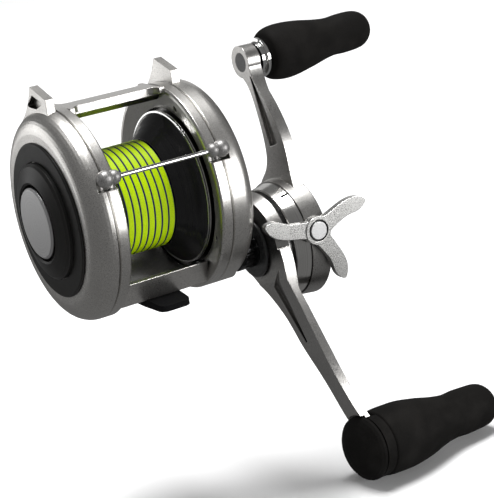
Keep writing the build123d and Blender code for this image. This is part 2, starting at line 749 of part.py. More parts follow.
def build_bridge_plate():
    """Inner plate that closes the gear case and holds the idler's pin."""
    posts = around(PLATE_SCREW_PCD_RADIUS, RIGHT_SCREW_ANGLES)
    with BuildPart() as bridge:
        disc(spool_plane(BRIDGE_X), CASE_RADIUS - SEAT_GAP, BRIDGE_THICKNESS)
        disc(spool_plane(BRIDGE_X), SPOOL_SHAFT_RADIUS + 0.6, BRIDGE_THICKNESS, Mode.SUBTRACT)
        disc(idler_plane(BRIDGE_X), ARBOR_PIN_RADIUS + SEAT_GAP, BRIDGE_THICKNESS, Mode.SUBTRACT)
        discs_at(spool_plane(BRIDGE_X), posts, 2.3 + SEAT_GAP, BRIDGE_THICKNESS, Mode.SUBTRACT)
    return bridge.part


def build_idler_pin():
    """Fixed pin the idler turns on."""
    with BuildPart() as pin:
        disc(idler_plane(BRIDGE_X), ARBOR_PIN_RADIUS, RIGHT_FACE_X - PLATE_WALL + 0.9 - BRIDGE_X)
    return pin.part


def build_idler_large():
    """Large idler gear that drives the pinion."""
    centre = idler_centre()
    with BuildPart() as large:
        heading = heading_between(centre, (0, 0))
        bore = 2.6
        gear(idler_plane(STAGE_B_X), IDLER_LARGE_TEETH, GEAR_WIDTH, bore, heading, True)
        spots = around(7.4, range(20, 380, 60))
        discs_at(idler_plane(STAGE_B_X), spots, 2.1, GEAR_WIDTH, Mode.SUBTRACT)
    return large.part


def build_idler_small():
    """Small idler gear with the sleeve that carries the large one."""
    centre = idler_centre()
    bore = ARBOR_PIN_RADIUS + RUN_GAP
    with BuildPart() as small:
        heading = heading_between(centre, (HUB_Y, -HUB_DROP))
        gear(idler_plane(STAGE_A_X - 0.2), IDLER_SMALL_TEETH, GEAR_WIDTH + 0.2, bore, heading, False)
        ring(idler_plane(STAGE_B_X), 2.6 - SEAT_GAP, bore, GEAR_WIDTH + 0.1)
    return small.part


def build_pinion():
    """Pinion on the spool's shaft."""
    with BuildPart() as pinion:
        heading = heading_between((0, 0), idler_centre())
        bore = SPOOL_SHAFT_RADIUS + SEAT_GAP
        gear(spool_plane(STAGE_B_X), PINION_TEETH, GEAR_WIDTH, bore, heading, False)
    return pinion.part


def build_crank_gear():
    """Gear on the inner end of the drive shaft."""
    centre = (HUB_Y, -HUB_DROP)
    with BuildPart() as wheel:
        heading = heading_between(centre, idler_centre())
        bore = DRIVE_SHAFT_RADIUS + SEAT_GAP
        gear(hub_plane(STAGE_A_X), CRANK_TEETH, GEAR_WIDTH, bore, heading, True)
    return wheel.part


def build_drive_shaft():
    """Shaft from the crank gear out to the handle nut."""
    end = UPPER_HUB_X + UPPER_HUB_WIDTH + NUT_WIDTH + 0.8
    with BuildPart() as shaft:
        disc(hub_plane(STAGE_A_X), DRIVE_SHAFT_RADIUS, end - STAGE_A_X)
        chamfer(shaft.edges().filter_by(GeomType.CIRCLE), 0.4)
    return shaft.part


def build_shaft_bush():
    """Flanged bush for the drive shaft in the gear case's wall."""
    start = STAGE_A_X + GEAR_WIDTH + 0.25
    bore = DRIVE_SHAFT_RADIUS + RUN_GAP
    with BuildPart() as bush:
        ring(hub_plane(start), 4.4, bore, SCOOP_X - start)
        ring(hub_plane(SCOOP_X), 5.2, bore, 0.5)
    return bush.part


def build_sleeve():
    """Fluted black sleeve around the drive shaft with a funnel-shaped end."""
    bore = DRIVE_SHAFT_RADIUS + SEAT_GAP
    outline = [
        (SLEEVE_X + 3.6, bore),
        (SLEEVE_X + 3.4, bore + 0.4),
        (SLEEVE_X, SLEEVE_RADIUS - 0.9),
        (SLEEVE_X, SLEEVE_RADIUS - 0.6),
        (SLEEVE_X + 0.6, SLEEVE_RADIUS),
        (SLEEVE_FLANGE_X, SLEEVE_RADIUS),
        (SLEEVE_FLANGE_X, bore),
    ]
    with BuildPart() as sleeve:
        turn(outline, hub_plane(0))
        with BuildSketch(hub_plane(SLEEVE_X + 2.2)) as flutes:
            with PolarLocations(SLEEVE_RADIUS + 0.45, SLEEVE_FLUTES):
                Circle(0.85)
        extrude(flutes.sketch, amount=SLEEVE_FLANGE_X - SLEEVE_X - 2.6, mode=Mode.SUBTRACT)
    return sleeve.part


def build_sleeve_flange():
    """Stepped flange between the sleeve and the lower arm."""
    bore = DRIVE_SHAFT_RADIUS + SEAT_GAP
    outline = [
        (SLEEVE_FLANGE_X, bore),
        (SLEEVE_FLANGE_X, SLEEVE_FLANGE_RADIUS - 0.4),
        (SLEEVE_FLANGE_X + 0.3, SLEEVE_FLANGE_RADIUS),
        (SLEEVE_FLANGE_X + 0.7, SLEEVE_FLANGE_RADIUS),
        (SLEEVE_FLANGE_X + 0.7, SLEEVE_FLANGE_RADIUS - 0.5),
        (LOWER_HUB_X, SLEEVE_FLANGE_RADIUS - 0.5),
        (LOWER_HUB_X, bore),
    ]
    with BuildPart() as flange:
        turn(outline, hub_plane(0))
    return flange.part


def arm_blank(side, front, rear, near_x, far_x, mode=Mode.ADD):
    """Arm outline between two smooth edges through the arm's whole depth.

    Points are (reach, offset towards the angler) from the crank's axis.
    """
    with BuildSketch(arm_plane(near_x, side)) as outline:
        with BuildLine():
            outward = Spline(*[(u, side * v) for u, v in front])
            inward = Spline(*[(u, side * v) for u, v in rear])
            Line(outward @ 1, inward @ 0)
            Line(inward @ 1, outward @ 0)
        make_face()
    extrude(outline.sketch, amount=far_x - near_x, mode=mode)


def eye_disc(side, centre, radius, near_x, far_x, mode=Mode.ADD):
    """Round end of an arm."""
    with BuildSketch(arm_plane(near_x, side)) as eye:
        with Locations((centre[0], side * centre[1])):
            Circle(radius)
    extrude(eye.sketch, amount=far_x - near_x, mode=mode)


def side_profile(side, points):
    """Keep only the part of an arm inside a side outline of (reach, x) points."""
    flat = arm_plane(0, side)
    plane = Plane(origin=flat.origin, x_dir=flat.x_dir, z_dir=flat.x_dir.cross(Vector(1, 0, 0)))
    with BuildSketch(plane) as profile:
        with BuildLine():
            Polyline(*points, close=True)
        make_face()
    extrude(profile.sketch, amount=40, both=True, mode=Mode.INTERSECT)


def pocket(side, x, slope, points):
    """Recess with that outline in an arm's inboard face, as deep at both ends."""
    flat = arm_plane(x, side)
    lean = Plane(origin=flat.origin, x_dir=flat.x_dir + Vector(slope, 0, 0), z_dir=Vector(1, 0, 0) - flat.x_dir * slope)
    with BuildSketch(lean) as recess:
        with BuildLine():
            Polyline(*[(u, side * v) for u, v in points], close=True)
        make_face()
    extrude(recess.sketch, amount=POCKET_DEPTH, both=True, mode=Mode.SUBTRACT)


def lower_edges(ease=0.0):
    """Front and rear edges of the lower arm as (reach, offset) points, moved out by ease."""
    reach, drop = LOWER_EYE
    edge = LOWER_HUB_RADIUS
    front = [(3.0, edge - 0.4), (9.0, 16.9), (13.0, 16.0), (21.3, 13.6), (31.5, 10.1), (41.6, 6.7)]
    front += [(51.1, 4.2), (61.0, 2.8), (reach - 3, drop + LOWER_EYE_RADIUS - 0.4)]
    rear = [(reach - 3, drop - LOWER_EYE_RADIUS + 0.2), (61.7, -6.2), (54.9, -4.9), (45.0, -3.6)]
    rear += [(36.0, -2.8), (28.0, -1.0), (19.0, -1.0), (13.0, -3.0), (8.0, -7.4), (2.0, -LOWER_ROOT_RADIUS + 0.3)]
    return [(u, v + ease) for u, v in front], [(u, v - ease) for u, v in rear]


def build_lower_arm():
    """Lower crank arm: a lopsided root at the hub that sweeps outboard to its eye."""
    near, far = LOWER_HUB_X, SPACER_X
    reach = LOWER_EYE[0]
    eye_far = LOWER_EYE_X + LOWER_EYE_WIDTH
    flat, knee, knee_x = LOWER_BEND
    slope = (knee_x - near) / (knee - flat)
    front, rear = lower_edges()
    with BuildPart() as arm:
        arm_blank(-1, front, rear, near - 2, eye_far + 2)
        eye_disc(-1, LOWER_EYE, LOWER_EYE_RADIUS, near - 2, eye_far + 2)
        side_profile(
            -1,
            [
                (0, near),
                (flat, near),
                (knee, knee_x),
                (reach - 7, LOWER_EYE_X),
                (reach + 9, LOWER_EYE_X),
                (reach + 9, eye_far),
                (reach - 9, eye_far),
                (knee, knee_x + LOWER_EYE_WIDTH + 0.7),
                (SPACER_RADIUS + 0.4, far),
                (0, far),
            ],
        )
        lower_root(near, far)
        triangle = [(10.5, 12.4), (15.6, 4.9), (38.0, 0.7), (37.6, 2.0), (18.2, 9.0)]
        pocket(-1, near - flat * slope, slope, triangle)
        disc(hub_plane(near), DRIVE_SHAFT_RADIUS + SEAT_GAP, far - near, Mode.SUBTRACT)
        cut_eye(-1)
        disc(knob_plane(-1, -LOWER_EYE_WIDTH - DOME_GAP + 0.1), DOME_RADIUS + 0.4, -9, Mode.SUBTRACT)
    return arm.part


def build_eye_shroud():
    """Dark fairing round the lower arm's eye, between the dome and the grip."""
    start = -LOWER_EYE_WIDTH - DOME_GAP + SHROUD_GAP
    end = LOWER_GRIP_START - SHROUD_GAP
    front, rear = lower_edges(0.1)
    near, far = LOWER_EYE_X - 8, LOWER_EYE_X + 10
    with BuildPart() as shroud:
        disc(knob_plane(-1, start), SHROUD_RADIUS, end - start)
        arm_blank(-1, front, rear, near, far, Mode.SUBTRACT)
        eye_disc(-1, LOWER_EYE, LOWER_EYE_RADIUS + 0.1, near, far, Mode.SUBTRACT)
    return shroud.part


def lower_root(near, far):
    """Tapered rim over the angler's side of the hub, on a smaller round boss."""
    disc(hub_plane(near), LOWER_ROOT_RADIUS, far - near)
    with BuildPart(mode=Mode.PRIVATE) as rim:
        rise = [(0, 0), (0, LOWER_HUB_RADIUS - LOWER_HUB_TAPER), (far - near, LOWER_HUB_RADIUS), (far - near, 0)]
        turn(rise, hub_plane(near))
        with BuildSketch(arm_plane(near - 1, -1)) as keep:
            with BuildLine():
                Polyline((6, 2), (6, -22), (-22, -22), (-22, 4), (-14, 8), close=True)
            make_face()
        extrude(keep.sketch, amount=far - near + 2, mode=Mode.INTERSECT)
    add(rim.part)


def build_upper_arm():
    """Upper crank arm: a thick disc at the hub with a flat tapered shank."""
    near, far = UPPER_HUB_X, UPPER_HUB_X + UPPER_HUB_WIDTH
    reach, rise = UPPER_EYE
    eye_far = UPPER_EYE_X + UPPER_EYE_WIDTH
    shank_far = UPPER_EYE_X + UPPER_SHANK_WIDTH
    front = [(8.0, 14.0), (14.5, 13.9), (20.5, 14.6), (27.5, 15.7), (33.5, 15.4), (39.5, 14.0)]
    front += [(44.5, 12.2), (50.5, 9.6), (reach - 2.6, rise + 4.6)]
    rear = [(reach - 3.4, rise - 3.8), (reach - 6.4, rise - 0.6), (49.0, 4.9), (43.0, 5.1), (36.0, 4.7)]
    rear += [(31.0, 3.9), (26.3, 2.2), (23.0, -0.8), (20.6, -5.0), (16.0, -8.5)]
    with BuildPart() as arm:
        arm_blank(1, front, rear, UPPER_EYE_X, eye_far)
        side_profile(
            1,
            [
                (0, UPPER_EYE_X),
                (reach + 9, UPPER_EYE_X),
                (reach + 9, eye_far),
                (reach - 6, eye_far),
                (reach - 12, shank_far),
                (0, shank_far),
            ],
        )
        eye_disc(1, UPPER_EYE, UPPER_EYE_RADIUS, UPPER_EYE_X, eye_far)
        hub = [(0, 0), (0, UPPER_HUB_RADIUS - UPPER_HUB_TAPER), (far - near, UPPER_HUB_RADIUS), (far - near, 0)]
        turn(hub, hub_plane(near))
        pocket(1, UPPER_EYE_X, 0, [(54.0, 7.5), (30.0, 6.9), (30.0, 12.3), (44.0, 10.3), (53.8, 8.2)])
        disc(hub_plane(near), DRIVE_SHAFT_RADIUS + SEAT_GAP, far - near, Mode.SUBTRACT)
        stem_hole()
        cut_eye(1)
    return arm.part


def stem_hole():
    """Hole for the star wheel's stem in the rims of the crank's hub."""
    disc(star_plane(STAR_BACK_Y), STEM_RADIUS + RUN_GAP, -STEM_DEPTH - 0.3, Mode.SUBTRACT)


def cut_eye(side):
    """Hole for a grip's spindle, with a recess for its head in the upper arm's inboard face."""
    bore = knob_plane(side, 2)
    disc(bore, SPINDLE_RADIUS + SEAT_GAP, -12, Mode.SUBTRACT)
    if side > 0:
        seat = knob_plane(side, SPINDLE_HEAD_WIDTH - UPPER_EYE_WIDTH)
        disc(seat, SPINDLE_HEAD_RADIUS + 4 * SEAT_GAP, -4, Mode.SUBTRACT)


def build_spacer():
    """Dark spacer between the lower arm and the bright collar."""
    with BuildPart() as spacer:
        ring(hub_plane(SPACER_X), SPACER_RADIUS, DRIVE_SHAFT_RADIUS + SEAT_GAP, COLLAR_X - SPACER_X)
    return spacer.part


def build_collar():
    """Bright split collar around the drag stack, wider towards its outer end."""
    width = UPPER_HUB_X - COLLAR_X
    wall = COLLAR_RADIUS - COLLAR_TAPER - COLLAR_WALL
    outline = [
        (0, wall),
        (0, COLLAR_RADIUS - COLLAR_TAPER - 0.3),
        (0.3, COLLAR_RADIUS - COLLAR_TAPER),
        (width - 0.3, COLLAR_RADIUS),
        (width, COLLAR_RADIUS - 0.3),
        (width, wall),
    ]
    with BuildPart() as collar:
        turn(outline, hub_plane(COLLAR_X))
        with BuildSketch(hub_plane(COLLAR_X + 2.6)) as slot:
            with Locations(Location((0, 0, 0), (0, 0, 118))):
                with Locations((COLLAR_RADIUS, 0)):
                    Rectangle(8, 0.9)
        extrude(slot.sketch, amount=width - 2.6, mode=Mode.SUBTRACT)
        stem_hole()
    return collar.part


def drag_discs(first, step, count, thickness, outer):
    """Equal discs of the drag stack."""
    with BuildPart() as stack:
        for index in range(count):
            ring(hub_plane(first + index * step), outer, DRIVE_SHAFT_RADIUS + SEAT_GAP, thickness)
    return stack.part


def build_handle_nut():
    """Hexagonal nut on the outer end of the drive shaft."""
    with BuildPart() as nut:
        with BuildSketch(hub_plane(UPPER_HUB_X + UPPER_HUB_WIDTH + 0.6)) as hexagon:
            RegularPolygon(5.6, 6)
            Circle(DRIVE_SHAFT_RADIUS + SEAT_GAP, mode=Mode.SUBTRACT)
        extrude(hexagon.sketch, amount=NUT_WIDTH - 0.6)
    return nut.part


def build_nut_washer():
    """Washer under the handle nut."""
    with BuildPart() as washer:
        ring(hub_plane(UPPER_HUB_X + UPPER_HUB_WIDTH), 8.2, DRIVE_SHAFT_RADIUS + SEAT_GAP, 0.6)
    return washer.part


def build_spindle(side):
    """Grip spindle, with a head in the upper arm's eye or a stub inboard of the lower one."""
    start, length = grip_sizes(side)[:2]
    reach = start + length - 6
    with BuildPart() as spindle:
        if side > 0:
            back = SPINDLE_HEAD_WIDTH - UPPER_EYE_WIDTH
            disc(knob_plane(side, back), SPINDLE_RADIUS, reach - back)
            disc(knob_plane(side, back), SPINDLE_HEAD_RADIUS, -SPINDLE_HEAD_WIDTH)
        else:
            back = LOWER_EYE_WIDTH + DOME_GAP + DOME_LENGTH - 1.5
            disc(knob_plane(side, -back), SPINDLE_RADIUS, reach + back)
    return spindle.part


def build_knob_collar():
    """Stepped bright collar between the upper arm and its grip."""
    outline = [
        (0, SPINDLE_RADIUS + SEAT_GAP),
        (0, 5.6),
        (1.4, 5.6),
        (1.6, 6.6),
        (2.6, 6.6),
        (2.8, 5.4),
        (COLLAR_LENGTH - 0.4, 5.4),
        (COLLAR_LENGTH - 0.4, SPINDLE_RADIUS + SEAT_GAP),
    ]
    with BuildPart() as collar:
        turn(outline, knob_plane(1, 0.5))
    return collar.part


def build_knob_dome():
    """Dark dome that closes the lower knob inboard of the arm's eye."""
    bore = SPINDLE_RADIUS + RUN_GAP
    outline = [
        (0, bore),
        (0, DOME_RADIUS - 0.5),
        (0.4, DOME_RADIUS),
        (1.2, DOME_RADIUS - 0.3),
        (2.0, DOME_RADIUS - 1.1),
        (2.7, DOME_RADIUS - 2.5),
        (DOME_LENGTH - 0.4, DOME_RADIUS - 4.4),
        (DOME_LENGTH, DOME_RADIUS - 6.9),
        (DOME_LENGTH, 0),
        (DOME_LENGTH - 1.2, 0),
        (DOME_LENGTH - 1.2, bore),
    ]
    with BuildPart() as dome:
        turn([(-h, r) for h, r in outline], knob_plane(-1, -LOWER_EYE_WIDTH - DOME_GAP))
    return dome.part


def build_grip(side):
    """Soft grip: full at the arm, waisted, with a rounded outer bulb."""
    bore = SPINDLE_RADIUS + RUN_GAP
    start, length, full, waist, end = grip_sizes(side)
    mouth = full - (3.4 if side > 0 else 0.8)
    base = knob_plane(side, start)
    normal = base.z_dir.cross(base.x_dir)
    section = Plane(origin=base.origin, x_dir=base.z_dir, z_dir=normal)
    with BuildPart() as grip:
        with BuildSketch(section) as profile:
            with BuildLine():
                Polyline((0, bore), (length, bore))
                Line((0, bore), (0, mouth))
                Spline(
                    (0, mouth),
                    (0.018 * length, full - 0.5 * (full - mouth)),
                    (0.06 * length, full - 0.18 * (full - mouth)),
                    (0.145 * length, full),
                    (0.25 * length, full - 0.1),
                    (0.38 * length, full - 0.32 * (full - waist)),
                    (0.52 * length, waist + 0.24 * (full - waist)),
                    (0.64 * length, waist),
                    (0.75 * length, waist + 0.02 * full),
                    (0.86 * length, end),
                    (length - 3.2, end - 0.5),
                    (length - 0.9, end - 1.9),
                    (length, end - 3.3),
                )
                Line((length, end - 3.3), (length, bore))
            make_face()
        revolve(profile.sketch, axis=Axis(base.origin, base.z_dir))
        disc(knob_plane(side, start + length - 5.4), GRIP_BORE_RADIUS + SEAT_GAP, 9, Mode.SUBTRACT)
    return grip.part


def build_grip_plug(side):
    """Plug that closes the outer end of a grip."""
    start, length = grip_sizes(side)[:2]
    with BuildPart() as plug:
        disc(knob_plane(side, start + length - 2.4), GRIP_BORE_RADIUS, 2.2)
    return plug.part


def build_star_stem():
    """Stem of the star wheel with a knurled collar."""
    with BuildPart() as stem:
        disc(star_plane(STAR_BACK_Y + STEM_DEPTH), STEM_RADIUS, STEM_DEPTH + STAR_DEPTH - 1.3)
    return stem.part


def build_star_wheel():
    """Star wheel with three curved leaf-shaped arms."""
    with BuildPart() as wheel:
        ring(star_plane(STAR_BACK_Y), STAR_HUB_RADIUS, STEM_RADIUS + SEAT_GAP, STAR_DEPTH)
        for angle in STAR_ANGLES:
            star_arm(angle)
        disc(star_plane(STAR_BACK_Y - STAR_DEPTH + 1.2), STAR_CAP_RADIUS + 0.5, 3, Mode.SUBTRACT)
    return wheel.part


def star_arm(angle):
    """One leaf of the star wheel, bowed in its own plane and widened at the tip."""
    heading = radians(angle)
    flat = star_plane(STAR_BACK_Y)
    out = Vector(cos(heading), 0, sin(heading))
    leaf = Plane(origin=flat.origin, x_dir=out, z_dir=(0, -1, 0))
    with BuildSketch(leaf) as outline:
        with BuildLine():
            upper = Spline((2.6, 3.0), (7.5, 3.1), (12.5, 3.4), (16.6, 2.7), (STAR_REACH - 0.6, 0.8))
            tip = ThreePointArc(upper @ 1, (STAR_REACH, -0.4), (STAR_REACH - 0.8, -1.4))
            lower = Spline(tip @ 1, (16.4, -2.2), (12.0, -1.6), (7.5, -1.9), (2.6, -3.0))
            Line(lower @ 1, upper @ 0)
        make_face()
    extrude(outline.sketch, amount=STAR_DEPTH - 0.4)


def build_star_cap_ring():
    """Dark ring around the star wheel's cap."""
    with BuildPart() as groove:
        seat = star_plane(STAR_BACK_Y - STAR_DEPTH + 1.2)
        ring(seat, STAR_CAP_RADIUS + 0.5 - SEAT_GAP, STAR_CAP_RADIUS + SEAT_GAP, 0.8)
    return groove.part


def build_star_cap():
    """Satin cap over the star wheel's stem."""
    with BuildPart() as cap:
        disc(star_plane(STAR_BACK_Y - STAR_DEPTH + 1.2), STAR_CAP_RADIUS, 1.4)
        chamfer(cap.edges().filter_by(GeomType.CIRCLE).group_by(Axis.Y)[0], 0.25)
    return cap.part


def rod_plane(x):
    """Plane square to the guard rod at x."""
    return Plane(origin=(x, ROD_Y, AXIS_Z + ROD_RISE), x_dir=(0, 1, 0), z_dir=(1, 0, 0))


def build_guard_rod():
    """Thin rod between the two ends at the front of the frame."""
    with BuildPart() as rod:
        with BuildSketch(rod_plane(0)) as face:
            Circle(ROD_RADIUS)
        extrude(face.sketch, amount=RING_OUTER_X - 0.4, both=True)
    return rod.part


def bead(start, stop, centre, radius):
    """Points of a round bead along the rod between two angles from the inboard pole."""
    steps = [start + (stop - start) * i / 8 for i in range(9)]
    return [(centre - radius * cos(radians(a)), radius * sin(radians(a))) for a in steps]


def build_guard_rod_ends():
    """Ball ends that hold the guard rod, each with a smaller bead beside it."""
    bore = ROD_RADIUS + SEAT_GAP
    blind = (RING_OUTER_X - 0.3, bore)
    outline = bead(28, 118, RING_OUTER_X - ROD_NECK_INSET, ROD_NECK_RADIUS)
    outline += bead(58, 179, RING_OUTER_X, ROD_END_RADIUS)
    outline += [(RING_OUTER_X + ROD_END_RADIUS, 0), (blind[0], 0), blind, (outline[0][0], bore)]
    with BuildPart() as ends:
        for side in (-1, 1):
            turn([(side * h, r) for h, r in outline], rod_plane(0))
    return ends.part


def pieces():
    """Every body of the reel by name."""
    drag = COLLAR_X
    return {
        "frame": build_frame(),
        "reel_foot": build_foot(),
        "foot_screws": build_foot_screws(),
        "left_side_plate": build_left_plate(),
        "left_plate_screws": build_left_screws(),
        "left_cover_ring": build_cover_ring(),
        "brake_dial": build_brake_dial(),
        "dial_cap": build_dial_cap(),
        "magnet_carrier": build_magnet_carrier(),
        "brake_magnets": build_brake_magnets(),
        "rotor_cup": build_rotor(),
        "left_bearing": bearing(-LEFT_FACE_X + PLATE_WALL + 0.85),
        "right_bearing": bearing(STAGE_B_X + GEAR_WIDTH + 0.65),
        "spool": build_spool(),
        "spool_rims": build_spool_rims(),
        "wound_line": build_wound_line(),
        "spool_shaft": build_spool_shaft(),
        "spool_pinion": build_pinion(),
        "right_side_plate": build_right_plate(),
        "right_plate_screws": build_right_screws(),
        "bridge_plate": build_bridge_plate(),
        "idler_pin": build_idler_pin(),
        "idler_large_gear": build_idler_large(),
        "idler_small_gear": build_idler_small(),
        "crank_gear": build_crank_gear(),
        "drive_shaft": build_drive_shaft(),
        "shaft_bush": build_shaft_bush(),
        "drive_sleeve": build_sleeve(),
        "sleeve_flange": build_sleeve_flange(),
        "lower_crank_arm": build_lower_arm(),
        "hub_spacer": build_spacer(),
        "hub_collar": build_collar(),
        "drag_washers": drag_discs(drag, 2.0, 3, 1.2, COLLAR_RADIUS - COLLAR_TAPER - COLLAR_WALL - 0.05),
        "drag_plates": drag_discs(drag + 1.2, 2.0, 2, 0.8, COLLAR_RADIUS - COLLAR_TAPER - COLLAR_WALL - 0.25),
        "upper_crank_arm": build_upper_arm(),
        "nut_washer": build_nut_washer(),
        "handle_nut": build_handle_nut(),
        "upper_spindle": build_spindle(1),
        "upper_knob_collar": build_knob_collar(),
        "upper_grip": build_grip(1),
        "upper_grip_plug": build_grip_plug(1),
        "lower_spindle": build_spindle(-1),
        "lower_knob_dome": build_knob_dome(),
        "lower_eye_shroud": build_eye_shroud(),
        "lower_grip": build_grip(-1),
        "lower_grip_plug": build_grip_plug(-1),
        "star_stem": build_star_stem(),
        "star_wheel": build_star_wheel(),
        "star_cap_ring": build_star_cap_ring(),
        "star_cap": build_star_cap(),
        "guard_rod": build_guard_rod(),
        "guard_rod_ends": build_guard_rod_ends(),
    }


def main():
    """Write each body to its own file."""
    os.makedirs("parts", exist_ok=True)
    for name, body in pieces().items():
        body.label = name
        export_step(body, f"parts/{name}.step")


main()
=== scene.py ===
"""Looks of a conventional double-grip fishing reel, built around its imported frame."""

from __future__ import annotations

import logging
import math
from dataclasses import dataclass
from enum import Enum
from typing import Any, Callable, Sequence

import bmesh
import bpy
from mathutils import Matrix, Vector, noise

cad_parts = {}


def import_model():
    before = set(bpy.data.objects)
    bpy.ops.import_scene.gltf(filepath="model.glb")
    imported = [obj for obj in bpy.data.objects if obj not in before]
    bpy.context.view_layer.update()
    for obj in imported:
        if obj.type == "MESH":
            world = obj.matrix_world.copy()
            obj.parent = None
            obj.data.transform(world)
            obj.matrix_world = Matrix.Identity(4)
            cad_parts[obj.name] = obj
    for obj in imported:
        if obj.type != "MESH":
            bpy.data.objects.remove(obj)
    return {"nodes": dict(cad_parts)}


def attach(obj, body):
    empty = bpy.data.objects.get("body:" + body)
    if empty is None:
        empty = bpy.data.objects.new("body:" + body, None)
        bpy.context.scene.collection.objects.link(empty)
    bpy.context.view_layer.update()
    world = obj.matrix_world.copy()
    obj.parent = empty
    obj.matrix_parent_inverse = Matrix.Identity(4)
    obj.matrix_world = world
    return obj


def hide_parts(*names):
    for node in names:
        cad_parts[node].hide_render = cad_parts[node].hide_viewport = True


Colour = tuple[float, float, float]
Point = tuple[float, float]
Triple = tuple[float, float, float]

LOG = logging.getLogger("reel")

# Everything below is in millimetres in the row frame, and MM turns it into metres.
MM = 0.001
# Height of the spool's axis, and (y, z) of the crank's.
AXIS_HEIGHT = 31.8
HUB: Point = (-10.5, 7.3)
# The wound line: half its width, its bands, and the strands in each band.
LINE_HALF_WIDTH = 8.4
LINE_BANDS = 7
LINE_STRANDS = 8
LINE_PITCH = 2 * LINE_HALF_WIDTH / LINE_BANDS

# The frame's carried-over objects by name, filled once by main.
FRAME_NODES: dict[str, bpy.types.Object] = {}


class Value:
    """A shader socket that takes part in plain arithmetic."""

    def __init__(self, tree: "FinishTree", socket: bpy.types.NodeSocket) -> None:
        """Keeps the tree that new nodes go into and the socket itself."""
        self.tree = tree
        self.socket = socket

    def _math(self, operation: str, left: Any, right: Any, clamp: bool = False) -> "Value":
        """Adds one Math node on two numbers or sockets."""
        settings = {"operation": operation, "use_clamp": clamp}
        return self.tree.node("ShaderNodeMath", settings, {0: left, 1: right})

    def __add__(self, other: Any) -> "Value":
        """Sum."""
        return self._math("ADD", self, other)

    def __radd__(self, other: Any) -> "Value":
        """Sum with a number on the left."""
        return self._math("ADD", other, self)

    def __sub__(self, other: Any) -> "Value":
        """Difference."""
        return self._math("SUBTRACT", self, other)

    def __rsub__(self, other: Any) -> "Value":
        """Difference with a number on the left."""
        return self._math("SUBTRACT", other, self)

    def __mul__(self, other: Any) -> "Value":
        """Product."""
        return self._math("MULTIPLY", self, other)

    def __rmul__(self, other: Any) -> "Value":
        """Product with a number on the left."""
        return self._math("MULTIPLY", other, self)

    def __truediv__(self, other: Any) -> "Value":
        """Quotient."""
        return self._math("DIVIDE", self, other)

    def __rtruediv__(self, other: Any) -> "Value":
        """Quotient with a number on the left."""
        return self._math("DIVIDE", other, self)

    def __pow__(self, other: Any) -> "Value":
        """Power."""
        return self._math("POWER", self, other)

    def fraction(self) -> "Value":
        """What is left after the whole part."""
        return self._math("FRACT", self, 0.0)

    def distance(self) -> "Value":
        """Size without sign."""
        return self._math("ABSOLUTE", self, 0.0)

    def between(self, low: float, high: float) -> "Value":
        """0 at low, 1 at high and clamped outside."""
        return self._math("ADD", (self - low) / (high - low), 0.0, clamp=True)


